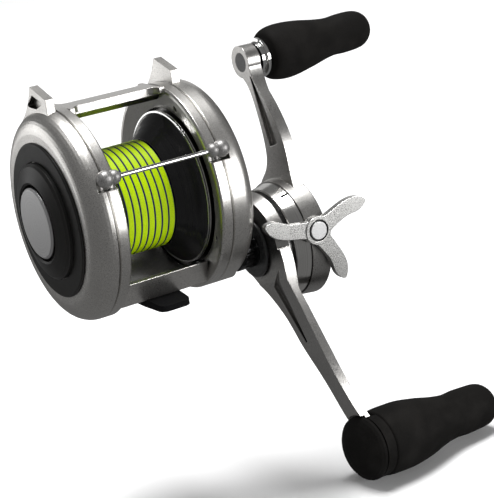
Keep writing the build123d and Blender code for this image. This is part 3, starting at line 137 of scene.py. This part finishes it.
class FinishTree:
    """A material's node tree, and the few calls that the finishes are written in."""

    def __init__(self, name: str) -> None:
        """Makes an empty material of that name with its output node."""
        self.material = bpy.data.materials.new(name)
        self.material.use_nodes = True
        self.nodes = self.material.node_tree.nodes
        self.links = self.material.node_tree.links
        self.nodes.clear()

    def node(
        self, kind: str, settings: dict[str, Any] | None = None,
        inputs: dict[Any, Any] | None = None, out: int | str = 0,
    ) -> Value:
        """Adds a node, its settings first and then its values and links.

        Args:
            kind: The node's type name.
            settings: Attributes to set; "stops" fills a colour ramp with (place, colour) pairs.
            inputs: Number, colour or Value for each input, by name or index.
            out: The output socket to return.

        Returns:
            The output as a Value.
        """
        made = self.nodes.new(kind)
        for key, value in (settings or {}).items():
            if key == "stops":
                self._fill_ramp(made.color_ramp, value)
            else:
                setattr(made, key, value)
        for key, value in (inputs or {}).items():
            if isinstance(value, Value):
                self.links.new(value.socket, made.inputs[key])
            else:
                made.inputs[key].default_value = value
        return Value(self, made.outputs[out])

    @staticmethod
    def _fill_ramp(ramp: bpy.types.ColorRamp, stops: Sequence[tuple[float, Colour]]) -> None:
        """Gives a ramp exactly these stops."""
        while len(ramp.elements) > 1:
            ramp.elements.remove(ramp.elements[-1])
        for index, (place, colour) in enumerate(stops):
            stop = ramp.elements[0] if index == 0 else ramp.elements.new(place)
            stop.position = place
            stop.color = (*colour, 1.0)

    def place(self) -> Value:
        """Position on the piece in millimetres."""
        spot = self.node("ShaderNodeTexCoord", out="Object")
        inputs = {0: spot, "Scale": 1000.0}
        return self.node("ShaderNodeVectorMath", {"operation": "SCALE"}, inputs)

    def parts(self, vector: Value) -> tuple[Value, Value, Value]:
        """The three components of a vector."""
        split = self.node("ShaderNodeSeparateXYZ", None, {0: vector})
        return tuple(Value(self, socket) for socket in split.socket.node.outputs)

    def join(self, x: Any, y: Any, z: Any) -> Value:
        """A vector from three components."""
        return self.node("ShaderNodeCombineXYZ", None, {0: x, 1: y, 2: z})

    def noise(self, vector: Value, scale: float, detail: float = 2.0, rough: float = 0.5) -> Value:
        """Soft random pattern.

        Args:
            vector: Place in millimetres.
            scale: Lumps in a millimetre.
            detail: How many finer layers are added.
            rough: How strongly they are added.

        Returns:
            The pattern, from 0 to 1.
        """
        inputs = {"Vector": vector, "Scale": scale, "Detail": detail, "Roughness": rough}
        return self.node("ShaderNodeTexNoise", None, inputs)

    def mix(self, factor: Any, first: Any, second: Any) -> Value:
        """Blends two colours.

        Args:
            factor: Share of the second colour.
            first: Colour or Value at 0.
            second: Colour or Value at 1.

        Returns:
            The blended colour.
        """
        tint = [c if isinstance(c, Value) else (*c, 1.0) for c in (first, second)]
        settings = {"data_type": "RGBA", "clamp_factor": True}
        # Inputs 6 and 7 and output 2 are the node's colour sockets.
        return self.node("ShaderNodeMix", settings, {0: factor, 6: tint[0], 7: tint[1]}, 2)

    def soft_edge(self, radius: float) -> Value:
        """Normal that rounds every sharp edge to a radius in millimetres."""
        return self.node("ShaderNodeBevel", {"samples": 6}, {"Radius": radius * MM})

    def edge_mask(self, radius: float) -> Value:
        """1 along sharp edges and 0 on open faces."""
        flat = self.node("ShaderNodeNewGeometry", out="Normal")
        pair = {0: self.soft_edge(radius), 1: flat}
        dot = self.node("ShaderNodeVectorMath", {"operation": "DOT_PRODUCT"}, pair, "Value")
        return (1.0 - dot).between(0.01, 0.12)

    def painted_crevice_shade(self, reach: float) -> Value:
        """Painted shade mask from ambient occlusion: 1 far inside crevices no wider than about
        reach, 0 in the open.
        """
        settings = {"samples": 8, "only_local": False}
        shade = self.node("ShaderNodeAmbientOcclusion", settings, {"Distance": reach * MM})
        return (1.0 - shade).between(0.42, 0.92)

    def bump(self, height: Value, depth: float, normal: Value | None = None) -> Value:
        """Normal of a surface with relief.

        Args:
            height: Relief from 0 to 1.
            depth: Depth of the full relief in millimetres.
            normal: Normal that the relief is laid on, if not the surface's own.

        Returns:
            The normal.
        """
        inputs: dict[Any, Any] = {"Height": height, "Strength": 1.0, "Distance": depth * MM}
        if normal is not None:
            inputs["Normal"] = normal
        return self.node("ShaderNodeBump", None, inputs)

    def surface(self, **inputs: Any) -> None:
        """Ends the material in one Principled shader.

        Args:
            inputs: Number or Value for each socket, its name written with underscores.
        """
        named = {key.replace("_", " "): value for key, value in inputs.items()}
        shader = self.node("ShaderNodeBsdfPrincipled", None, named)
        output = self.nodes.new("ShaderNodeOutputMaterial")
        self.links.new(shader.socket, output.inputs["Surface"])


@dataclass(frozen=True)
class Finish:
    """A surface finish. A subclass says how it is shaded.

    In the finishes, grain and lines count lumps or rings in a millimetre, pitch and strand are
    widths, and depths are heights of relief. Sharp edges are shaded round to the radius edge.
    """

    name: str
    colour: Colour
    roughness: float

    def build(self) -> bpy.types.Material:
        """Makes the material."""
        tree = FinishTree(self.name)
        self.shade(tree)
        return tree.material

    def shade(self, tree: FinishTree) -> None:
        """Fills the node tree."""
        raise NotImplementedError


@dataclass(frozen=True)
class BlastedAlloy(Finish):
    """Bead-blasted metal: a fine warm grain, faint clouding and edges polished bright by wear.

    Crevices narrower than a set reach are darkened by a set share, as painted shade.
    """

    grain: float = 2.6
    grain_depth: float = 0.03
    edge: float = 0.35
    # Colour of edges polished bright by wear.
    wear_and_highlight_tint: Colour = (0.86, 0.84, 0.80)
    crevice_shade_reach: float = 22.0
    crevice_shade_depth: float = 0.9

    def shade(self, tree: FinishTree) -> None:
        """Grain in colour, roughness and height; soft edges polished bright by wear; painted shade
        in crevices.
        """
        place = tree.place()
        grain = tree.noise(place, self.grain, 4.0, 0.65)
        cloud = tree.noise(place, 0.09, 3.0)
        # Here the edge mask is edge wear alone: bright patches along edges, broken up by noise.
        edge_wear_and_highlight = tree.edge_mask(self.edge) * tree.noise(place, 0.7, 3.0).between(0.3, 0.6)
        dark = tuple(0.6 * c for c in self.colour)
        light = tuple(min(1.0, 1.26 * c) for c in self.colour)
        body = tree.mix(grain.between(0.32, 0.68), dark, light)
        body = tree.mix(cloud.between(0.35, 0.7) * 0.22, body, dark)
        body = tree.mix(edge_wear_and_highlight * 0.7, body, self.wear_and_highlight_tint)
        # Painted shade: crevices are darkened towards a near-black copy of the colour.
        crevice_shade = tree.painted_crevice_shade(self.crevice_shade_reach)
        body = tree.mix(crevice_shade * self.crevice_shade_depth, body, tuple(0.06 * c for c in self.colour))
        rough = self.roughness + (grain - 0.5) * 0.22 + (cloud - 0.5) * 0.12 - edge_wear_and_highlight * 0.12
        normal = tree.bump(grain, self.grain_depth, tree.soft_edge(self.edge))
        tree.surface(Base_Color=body, Metallic=1.0, Roughness=rough, Normal=normal)


@dataclass(frozen=True)
class TurnedMetal(Finish):
    """Metal turned on a lathe: fine rings about an axis along X through (y, z)."""

    centre: Point = (0.0, AXIS_HEIGHT)
    lines: float = 9.0
    line_depth: float = 0.006
    edge: float = 0.2
    metallic: float = 1.0
    coat: float = 0.0
    specular: float = 0.5

    def shade(self, tree: FinishTree) -> None:
        """Rings of slightly different brightness, with a little grain across them, and a painted
        highlight along sharp edges.
        """
        place = tree.place()
        x, y, z = tree.parts(place)
        dy, dz = y - self.centre[0], z - self.centre[1]
        radius = (dy * dy + dz * dz) ** 0.5
        rings = tree.noise(tree.join(x * self.lines, radius * self.lines, 0.0), 1.0, 3.0, 0.6)
        smear = tree.noise(place, 0.35, 3.0)
        edge_wear_and_highlight = tree.edge_mask(self.edge)
        dark = tuple(0.7 * c for c in self.colour)
        light = tuple(min(1.0, 1.25 * c + 0.004) for c in self.colour)
        body = tree.mix(rings.between(0.3, 0.7), dark, light)
        # Painted highlight: every sharp edge is lifted towards a paler colour.
        body = tree.mix(edge_wear_and_highlight * 0.35, body, tuple(min(1.0, 1.6 * c + 0.05) for c in self.colour))
        rough = self.roughness + (rings - 0.5) * 0.14 + (smear - 0.5) * 0.1
        normal = tree.bump(rings, self.line_depth, tree.soft_edge(self.edge))
        tree.surface(
            Base_Color=body, Metallic=self.metallic, Roughness=rough, Normal=normal,
            Coat_Weight=self.coat, Coat_Roughness=0.12, Specular_IOR_Level=self.specular,
        )


@dataclass(frozen=True)
class MouldedBlack(Finish):
    """Dark coated or moulded surface with a fine texture and a painted highlight that makes the
    edges paler.
    """

    grain: float = 5.0
    grain_depth: float = 0.012
    edge: float = 0.25
    metallic: float = 0.0
    # How far the painted edge highlight lifts the colour.
    wear_and_highlight_tint: float = 0.06
    specular: float = 0.3

    def shade(self, tree: FinishTree) -> None:
        """Fine stipple, a little dust in the colour and a painted highlight on the edges."""
        place = tree.place()
        grain = tree.noise(place, self.grain, 3.0, 0.6)
        cloud = tree.noise(place, 0.2, 3.0)
        edge_wear_and_highlight = tree.edge_mask(self.edge)
        dark = tuple(0.7 * c for c in self.colour)
        pale = tuple(1.35 * c + 0.002 for c in self.colour)
        body = tree.mix(grain.between(0.35, 0.65), dark, pale)
        # Painted highlight: sharp edges are lifted towards a paler colour.
        body = tree.mix(edge_wear_and_highlight * 0.5, body, tuple(c + self.wear_and_highlight_tint for c in self.colour))
        rough = self.roughness + (grain - 0.5) * 0.16 + (cloud - 0.5) * 0.14
        normal = tree.bump(grain, self.grain_depth, tree.soft_edge(self.edge))
        tree.surface(
            Base_Color=body, Metallic=self.metallic, Roughness=rough, Normal=normal,
            Specular_IOR_Level=self.specular,
        )


@dataclass(frozen=True)
class FoamRubber(Finish):
    """Closed-cell foam: matt black with tiny open pores and patches polished by handling."""

    def shade(self, tree: FinishTree) -> None:
        """Two sizes of pore, and a faint grey bloom where hands have polished the foam."""
        place = tree.place()
        cells = {"Vector": place, "Scale": 2.2, "Randomness": 1.0}
        pores = tree.node("ShaderNodeTexVoronoi", None, cells).between(0.05, 0.4)
        fine = tree.noise(place, 6.0, 3.0, 0.6)
        bloom = tree.noise(place, 0.12, 3.0).between(0.42, 0.7)
        height = pores * 0.6 + fine * 0.4
        dark = tuple(0.35 * c for c in self.colour)
        body = tree.mix(height.between(0.25, 0.9), dark, self.colour)
        body = tree.mix(bloom * 0.5, body, tuple(2.0 * c for c in self.colour))
        rough = self.roughness + (fine - 0.5) * 0.2
        normal = tree.bump(height, 0.05)
        tree.surface(
            Base_Color=body, Metallic=0.0, Roughness=rough, Normal=normal, Specular_IOR_Level=0.07,
        )


@dataclass(frozen=True)
class BandedLine(Finish):
    """Bright line wound in bands, with painted shade on the band sides and a painted dark line of
    shade between neighbouring bands.
    """

    # Near-black colour painted between bands as shade.
    painted_gap_shade: Colour = (0.014, 0.012, 0.09)
    pitch: float = LINE_PITCH
    strand: float = LINE_PITCH / LINE_STRANDS

    def shade(self, tree: FinishTree) -> None:
        """Colour by band across the winding, with separate strands and tiny weave marks; painted
        shade darkens strand and band edges and the space between bands.
        """
        place = tree.place()
        x, y, z = tree.parts(place)
        turn = tree.node("ShaderNodeMath", {"operation": "ARCTAN2"}, {0: y, 1: z - AXIS_HEIGHT})
        along = x + LINE_HALF_WIDTH
        side = ((along / self.pitch).fraction() - 0.5).distance()
        strand = ((along / self.strand).fraction() - 0.5).distance()
        weave = tree.noise(tree.join(x * 2.5, turn * 26.0, 0.0), 1.4, 3.0, 0.6)
        # Darker tone used both for the random weave and for the painted shade below.
        weave_tone_and_shade = tuple(c * f for c, f in zip(self.colour, (0.55, 0.72, 0.4)))
        body = tree.mix(weave.between(0.3, 0.75), weave_tone_and_shade, self.colour)
        # Painted shade towards each strand's edges.
        body = tree.mix(strand.between(0.28, 0.5) * 0.35, body, weave_tone_and_shade)
        # Painted shade on each band's sides.
        body = tree.mix(side.between(0.26, 0.38) * 0.6, body, weave_tone_and_shade)
        # Painted shade filling the space between neighbouring bands.
        body = tree.mix(side.between(0.36, 0.40), body, self.painted_gap_shade)
        rough = self.roughness + (weave - 0.5) * 0.2
        tree.surface(
            Base_Color=body, Metallic=0.0, Roughness=rough,
            Normal=tree.bump(weave - strand, 0.04), Specular_IOR_Level=0.12,
        )


@dataclass(frozen=True)
class WovenCarbon(Finish):
    """Dark woven washer material."""

    def shade(self, tree: FinishTree) -> None:
        """A small two-way weave."""
        x, y, z = tree.parts(tree.place())
        over = ((y * 1.4).fraction() - 0.5).distance()
        under = ((z * 1.4).fraction() - 0.5).distance()
        weave = (over - under).between(-0.2, 0.2)
        body = tree.mix(weave, tuple(0.5 * c for c in self.colour), self.colour)
        tree.surface(
            Base_Color=body, Metallic=0.0, Roughness=self.roughness + weave * 0.15,
            Normal=tree.bump(weave, 0.03),
        )


@dataclass(frozen=True)
class FloorPaper(Finish):
    """Plain pale studio paper."""

    def shade(self, tree: FinishTree) -> None:
        """An almost even sheet with a faint tooth."""
        tooth = tree.noise(tree.place(), 0.02, 3.0)
        body = tree.mix(tooth, self.colour, tuple(0.99 * c for c in self.colour))
        tree.surface(Base_Color=body, Roughness=self.roughness, Metallic=0.0)


class Look(Enum):
    """The finishes by what they are on."""

    SATIN = BlastedAlloy("satin_alloy", (0.66, 0.645, 0.62), 0.31, grain=4.2, grain_depth=0.014)
    ARM = BlastedAlloy("arm_alloy", (0.46, 0.45, 0.435), 0.31, grain=3.6, grain_depth=0.02)
    LEAF = BlastedAlloy(
        "leaf_alloy", (0.62, 0.615, 0.60), 0.28, grain=3.4, grain_depth=0.006, edge=0.2
    )
    COVER = TurnedMetal(
        "cover_black", (0.009, 0.0088, 0.0083), 0.34, metallic=0.0, edge=0.3, specular=0.09
    )
    CAP = TurnedMetal("cap_grey", (0.56, 0.56, 0.56), 0.38, lines=5.0)
    SPOOL = TurnedMetal(
        "spool_black", (0.006, 0.006, 0.0065), 0.14, metallic=0.0, coat=0.05, specular=0.2
    )
    PIN = TurnedMetal("pin_grey", (0.16, 0.16, 0.16), 0.4)
    CHROME = TurnedMetal("chrome", (0.78, 0.78, 0.77), 0.09, line_depth=0.002)
    HUB_CHROME = TurnedMetal("hub_chrome", (0.66, 0.65, 0.63), 0.16, centre=HUB)
    SLEEVE = TurnedMetal("sleeve_black_chrome", (0.045, 0.045, 0.047), 0.12, centre=HUB)
    HUB_BLACK = TurnedMetal("hub_black", (0.02, 0.02, 0.02), 0.24, centre=HUB, metallic=0.4)
    STEEL = TurnedMetal("steel", (0.52, 0.51, 0.50), 0.26)
    BRASS = TurnedMetal("brass", (0.66, 0.48, 0.19), 0.28)
    DARK_STEEL = MouldedBlack("dark_steel", (0.27, 0.265, 0.26), 0.46, metallic=0.8, grain=3.0)
    MAGNET = MouldedBlack("magnet", (0.10, 0.10, 0.11), 0.3, metallic=1.0)
    # The foot's painted edge highlight is kept faint.
    FOOT = MouldedBlack("foot_black", (0.004, 0.004, 0.0045), 0.75, wear_and_highlight_tint=0.01, specular=0.03)
    PLUG = MouldedBlack("plug_black", (0.012, 0.012, 0.012), 0.35)
    CARBON = WovenCarbon("carbon", (0.035, 0.035, 0.037), 0.4)
    LINE = BandedLine("line", (0.52, 0.66, 0.003), 0.42)
    FOAM = FoamRubber("grip_foam", (0.0065, 0.006, 0.0055), 0.72)
    FLOOR = FloorPaper("floor_paper", (0.93, 0.93, 0.93), 0.9)

    def material(self) -> bpy.types.Material:
        """This look's material, made once."""
        name = "finish_" + self.value.name
        found = bpy.data.materials.get(name)
        if found is None:
            found = self.value.build()
            found.name = name
        return found


def make_object(
    name: str, points: Sequence[Vector], faces: Sequence[Sequence[int]], look: Look,
    smooth: float = 40.0,
) -> bpy.types.Object:
    """Makes a mesh object in the row frame.

    Args:
        name: The piece's name.
        points: Corners in millimetres.
        faces: Corner indices of each face.
        look: Its finish.
        smooth: Faces that meet at less than this angle in degrees are shaded as one.

    Returns:
        The linked object.
    """
    mesh = bpy.data.meshes.new(name)
    mesh.from_pydata([Vector(p) * MM for p in points], [], [tuple(f) for f in faces])
    work = bmesh.new()
    work.from_mesh(mesh)
    bmesh.ops.recalc_face_normals(work, faces=work.faces)
    for face in work.faces:
        face.smooth = True
    for edge in work.edges:
        if len(edge.link_faces) == 2:
            edge.smooth = edge.calc_face_angle(0.0) < math.radians(smooth)
    work.to_mesh(mesh)
    work.free()
    mesh.materials.append(look.material())
    made = bpy.data.objects.new(name, mesh)
    bpy.context.scene.collection.objects.link(made)
    return made


def finish_piece(made: bpy.types.Object, body: str, slot: str, *nodes: str) -> None:
    """Rides a piece on its body and hides the CAD nodes it stands for.

    Args:
        made: The piece.
        body: The body it moves with.
        slot: Name of its material slot; not used.
        nodes: Names of the CAD nodes it stands for.
    """
    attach(made, body)
    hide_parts(*nodes)
    LOG.info("%s rides on %s with %d faces", made.name, body, len(made.data.polygons))


def dress(look: Look, *nodes: str) -> None:
    """Gives carried-over CAD nodes their finish.

    Args:
        look: The finish.
        nodes: Names of CAD nodes.
    """
    for name in nodes:
        piece = FRAME_NODES[name]
        if not piece.material_slots:
            piece.data.materials.append(None)
        for holder in piece.material_slots:
            holder.link = "OBJECT"
            holder.material = look.material()
        LOG.info("%s keeps its shape with finish %s", name, look.value.name)


def basis(axis: Vector, hint: Vector) -> tuple[Vector, Vector, Vector]:
    """Three directions square to each other.

    Args:
        axis: The first direction, of any length.
        hint: What the second direction lies nearest to.

    Returns:
        The three as unit vectors.
    """
    along = axis.normalized()
    first = (hint - along * hint.dot(along)).normalized()
    return along, first, along.cross(first)


def lathe(
    profile: Sequence[Point], origin: Vector, axis: Vector, hint: Vector, turns: int,
    shape: Callable[[float, float, float], float],
) -> tuple[list[Vector], list[list[int]]]:
    """Turns an open profile, whose ends lie on or near the axis, into a closed skin.

    Args:
        profile: (height, radius) in millimetres.
        origin: Where height 0 is.
        axis: Direction of the height.
        hint: Where the first column of points lies.
        turns: Points round the axis.
        shape: Final radius from height, radius and angle.

    Returns:
        Points and faces.
    """
    along, first, second = basis(axis, hint)
    points: list[Vector] = []
    for height, radius in profile:
        for step in range(turns):
            angle = 2 * math.pi * step / turns
            reach = shape(height, radius, angle)
            outward = first * math.cos(angle) + second * math.sin(angle)
            points.append(origin + along * height + outward * reach)
    faces: list[list[int]] = []
    for row in range(len(profile) - 1):
        for step in range(turns):
            here, there = row * turns, (row + 1) * turns
            after = (step + 1) % turns
            faces.append([here + step, here + after, there + after, there + step])
    for row in (0, len(profile) - 1):
        faces.append([row * turns + step for step in range(turns)])
    return points, faces


def curve_through(stops: Sequence[Point], steps: int) -> list[Point]:
    """Points of a smooth curve through the stops.

    Args:
        stops: Points that the curve passes through.
        steps: Points in each span between two stops.

    Returns:
        The points, from the first stop to the last.
    """
    found: list[Point] = []
    for index in range(len(stops) - 1):
        before = stops[max(index - 1, 0)]
        start, end = stops[index], stops[index + 1]
        after = stops[min(index + 2, len(stops) - 1)]
        for step in range(steps):
            t = step / steps
            found.append(
                tuple(
                    0.5 * (
                        2 * b + (c - a) * t + (2 * a - 5 * b + 4 * c - d) * t * t
                        + (3 * b - a - 3 * c + d) * t**3
                    )
                    for a, b, c, d in zip(before, start, end, after)
                )
            )
    found.append(tuple(stops[-1]))
    return found


@dataclass(frozen=True)
class SoftBox:
    """A square area light, its place and size in millimetres and its power in watts."""

    name: str
    place: Triple
    size: float
    power: float

    def build(self, aim: Vector) -> None:
        """Adds the light, turned towards a point."""
        lamp = bpy.data.lights.new(self.name, "AREA")
        lamp.shape = "SQUARE"
        lamp.size = self.size * MM
        lamp.energy = self.power
        holder = bpy.data.objects.new(self.name, lamp)
        place = Vector(self.place)
        holder.location = place * MM
        holder.rotation_euler = (aim - place).to_track_quat("-Z", "Y").to_euler()
        holder.visible_camera = False
        bpy.context.scene.collection.objects.link(holder)


@dataclass
class Studio:
    """Pale floor, soft lights and the camera.

    The camera's place is in millimetres, and its right, up and forward are unit vectors.
    """

    floor_drop: float = 78.5
    floor_half_width: float = 6000.0
    surroundings: float = 0.17
    camera_place: Triple = (-192.948, -425.911, 145.494)
    camera_right: Triple = (0.84745603, -0.51218222, -0.13959816)
    camera_up: Triple = (0.26087692, 0.17277738, 0.94978482)
    camera_forward: Triple = (0.4623435, 0.84131881, -0.28003775)
    lens: float = 108.434
    lit_point: Triple = (0.0, -5.0, 25.0)
    boxes: tuple[SoftBox, ...] = (
        SoftBox("box_back", (1500, 2700, 900), 1500, 3.0),
        SoftBox("box_top", (60, 200, 3000), 1500, 135.0),
        SoftBox("box_front_right", (640, -1000, 120), 560, 10.0),
        SoftBox("box_left", (-1100, 1900, 150), 1100, 7.0),
    )

    def build(self) -> None:
        """Sets up everything that isn't the object."""
        self.floor()
        self.world()
        self.camera()
        for box in self.boxes:
            box.build(Vector(self.lit_point))

    def floor(self) -> None:
        """One large plain sheet under the object."""
        reach = self.floor_half_width
        signs = ((-1, -1), (1, -1), (1, 1), (-1, 1))
        corners = [Vector((a * reach, b * reach, -self.floor_drop)) for a, b in signs]
        sheet = make_object("floor", corners, [[0, 1, 2, 3]], Look.FLOOR)
        sheet.visible_glossy = False

    def world(self) -> None:
        """Even dim surroundings."""
        scene = bpy.context.scene
        scene.world = bpy.data.worlds.new("studio")
        scene.world.use_nodes = True
        back = scene.world.node_tree.nodes["Background"]
        back.inputs["Color"].default_value = (1.0, 1.0, 1.0, 1.0)
        back.inputs["Strength"].default_value = self.surroundings
        scene.view_settings.view_transform = "Standard"

    def camera(self) -> None:
        """Camera at the object's three-quarter view."""
        lens = bpy.data.cameras.new("camera")
        lens.lens = self.lens
        lens.sensor_width = 36.0
        lens.clip_start, lens.clip_end = 0.01, 50.0
        eye = bpy.data.objects.new("camera", lens)
        back = -Vector(self.camera_forward)
        turn = Matrix((Vector(self.camera_right), Vector(self.camera_up), back))
        place = Vector(self.camera_place) * MM
        eye.matrix_world = Matrix.Translation(place) @ turn.transposed().to_4x4()
        bpy.context.scene.collection.objects.link(eye)
        bpy.context.scene.camera = eye


@dataclass
class FrameAssembly:
    """The one-piece frame, its foot, side plates and guard rod."""

    def build(self) -> None:
        """Dresses the frame's pieces."""
        dress(Look.SATIN, "frame", "left_side_plate", "right_side_plate", "bridge_plate")
        dress(Look.FOOT, "reel_foot")
        dress(Look.STEEL, "foot_screws", "left_plate_screws", "right_plate_screws")
        dress(Look.STEEL, "left_bearing", "right_bearing", "idler_pin", "shaft_bush")
        dress(Look.CHROME, "guard_rod")
        dress(Look.DARK_STEEL, "guard_rod_ends")


@dataclass
class BrakeSide:
    """The brake's cover ring, dial, cap and magnets."""

    def build(self) -> None:
        """Dresses the brake's pieces."""
        dress(Look.COVER, "left_cover_ring", "brake_dial")
        dress(Look.CAP, "dial_cap")
        dress(Look.PLUG, "magnet_carrier")
        dress(Look.MAGNET, "brake_magnets")


@dataclass
class SpoolAssembly:
    """Spool, its rims and the wound line.

    Each band is crowned by crown over its dip below line_radius, and each strand by bead.
    """

    line_radius: float = 17.6
    core_radius: float = 11.2
    dip: float = 0.42
    crown: float = 0.34
    bead: float = 0.06
    wobble: float = 0.03
    rows_per_strand: int = 4

    def build(self) -> None:
        """Dresses the spool and winds the line."""
        dress(Look.SPOOL, "spool")
        dress(Look.CHROME, "spool_rims")
        dress(Look.STEEL, "spool_shaft", "rotor_cup")
        dress(Look.BRASS, "spool_pinion")
        self.wind_line()

    def wind_line(self) -> None:
        """Line in crowned bands, each a few strands wide."""
        rows = LINE_BANDS * LINE_STRANDS * self.rows_per_strand
        profile: list[Point] = [(-LINE_HALF_WIDTH, self.core_radius)]
        for row in range(rows + 1):
            x = -LINE_HALF_WIDTH + 2 * LINE_HALF_WIDTH * row / rows
            band = ((x + LINE_HALF_WIDTH) / LINE_PITCH) % 1.0
            strand = ((x + LINE_HALF_WIDTH) / LINE_PITCH * LINE_STRANDS) % 1.0
            crown = 1 - (2 * band - 1) ** 6
            bead = math.sin(math.pi * strand)
            relief = self.crown * crown + self.bead * bead * crown
            profile.append((x, self.line_radius - self.dip + relief))
        profile.append((LINE_HALF_WIDTH, self.core_radius))
        centre, axis, hint = Vector((0, 0, AXIS_HEIGHT)), Vector((1, 0, 0)), Vector((0, 1, 0))
        points, faces = lathe(profile, centre, axis, hint, 144, self.uneven)
        piece = make_object("wound_line_strands", points, faces, Look.LINE, 75)
        finish_piece(piece, "spool", "line", "wound_line")

    def uneven(self, height: float, radius: float, angle: float) -> float:
        """Radius with the slight wave of hand-laid line, outside the core."""
        if radius <= self.core_radius:
            return radius
        return radius + self.wobble * math.sin(5 * angle + height)


@dataclass
class CrankHub:
    """Gear train, drive shaft and the stack of rings on it."""

    def build(self) -> None:
        """Dresses the crank's rings."""
        dress(Look.BRASS, "idler_large_gear", "idler_small_gear", "crank_gear")
        dress(Look.STEEL, "drive_shaft", "nut_washer", "drag_plates")
        dress(Look.SLEEVE, "drive_sleeve")
        dress(Look.HUB_BLACK, "sleeve_flange", "hub_spacer")
        dress(Look.HUB_CHROME, "hub_collar", "handle_nut")
        dress(Look.CARBON, "drag_washers")


@dataclass
class CrankArms:
    """The two arms and the spindles of their grips."""

    def build(self) -> None:
        """Dresses the arms."""
        dress(Look.ARM, "lower_crank_arm", "upper_crank_arm")
        dress(Look.CHROME, "lower_spindle", "upper_knob_collar")
        dress(Look.PIN, "upper_spindle")
        dress(Look.FOAM, "lower_knob_dome", "lower_eye_shroud")


@dataclass
class Grip:
    """A foam grip turned about its spindle.

    Lengths are in millimetres. The face is where the spindle leaves the arm, and start is how
    far beyond it the foam begins; full, waist and end are radii, and mouth is how much
    smaller than full the inboard end is. The bore takes the spindle and its outer end the plug.
    """

    name: str
    body: str
    face: Triple
    axis: Triple
    start: float
    length: float
    full: float
    waist: float
    end: float
    mouth: float

    def outline(self) -> list[Point]:
        """Height and radius along the foam, from its inboard lip to the plug's bore."""
        drop = self.full - self.waist
        return [
            (0.0, self.full - self.mouth - 0.5), (0.25, self.full - self.mouth),
            (0.018 * self.length, self.full - 0.52 * self.mouth),
            (0.06 * self.length, self.full - 0.19 * self.mouth),
            (0.145 * self.length, self.full - 0.05), (0.25 * self.length, self.full - 0.15),
            (0.38 * self.length, self.full - 0.05 - 0.32 * drop),
            (0.52 * self.length, self.waist - 0.05 + 0.24 * drop),
            (0.64 * self.length, self.waist - 0.05),
            (0.75 * self.length, self.waist - 0.05 + 0.02 * self.full),
            (0.86 * self.length, self.end - 0.05), (self.length - 3.2, self.end - 0.55),
            (self.length - 0.95, self.end - 1.95), (self.length - 0.1, self.end - 3.3),
            (self.length - 0.1, 3.46), (self.length - 1.1, 3.42),
        ]

    def build(self) -> None:
        """Makes the foam body and dresses its plug."""
        profile = [(0.05, 2.3), *curve_through(self.outline(), 6), (self.length - 2.3, 3.42)]
        axis = Vector(self.axis)
        origin = Vector(self.face) + axis * self.start
        points, faces = lathe(profile, origin, axis, Vector((0, 0, 1)), 96, self.hand_shape)
        piece = make_object(self.name + "_foam", points, faces, Look.FOAM, 60)
        finish_piece(piece, self.body, "grip_foam", self.name)
        dress(Look.PLUG, self.name + "_plug")

    @staticmethod
    def hand_shape(height: float, radius: float, angle: float) -> float:
        """Radius with the slight unevenness of ground foam."""
        if radius < 4.0:
            return radius
        spot = Vector((height * 0.12, 1.5 * math.cos(angle), 1.5 * math.sin(angle)))
        return radius - 0.05 + 0.12 * noise.noise(spot) * min(1.0, radius - 4.0)


@dataclass
class DragStar:
    """The star wheel on its stem."""

    def build(self) -> None:
        """Dresses the star."""
        dress(Look.LEAF, "star_wheel")
        dress(Look.STEEL, "star_stem")
        dress(Look.PLUG, "star_cap_ring")
        dress(Look.CAP, "star_cap")


def main() -> None:
    """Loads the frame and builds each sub-assembly in turn."""
    logging.basicConfig(level=logging.INFO, format="%(message)s")
    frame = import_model()
    FRAME_NODES.update(frame["nodes"])
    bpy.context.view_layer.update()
    assemblies = (
        Studio(),
        FrameAssembly(),
        BrakeSide(),
        SpoolAssembly(),
        CrankHub(),
        CrankArms(),
        Grip(
            "upper_grip", "upper_knob", (55.8, 4.08, 65.44), (0.997444, 0.063669, 0.032441),
            start=4.5, length=43.6, full=9.4, waist=6.7, end=6.8, mouth=3.4,
        ),
        Grip(
            "lower_grip", "lower_knob", (60.6, -32.559, -65.444), (0.988366, 0.129283, -0.080114),
            start=0.9, length=54.0, full=11.8, waist=8.1, end=8.2, mouth=0.8,
        ),
        DragStar(),
    )
    for assembly in assemblies:
        LOG.info("building %s", type(assembly).__name__)
        assembly.build()


if __name__ == "__main__":
    main()
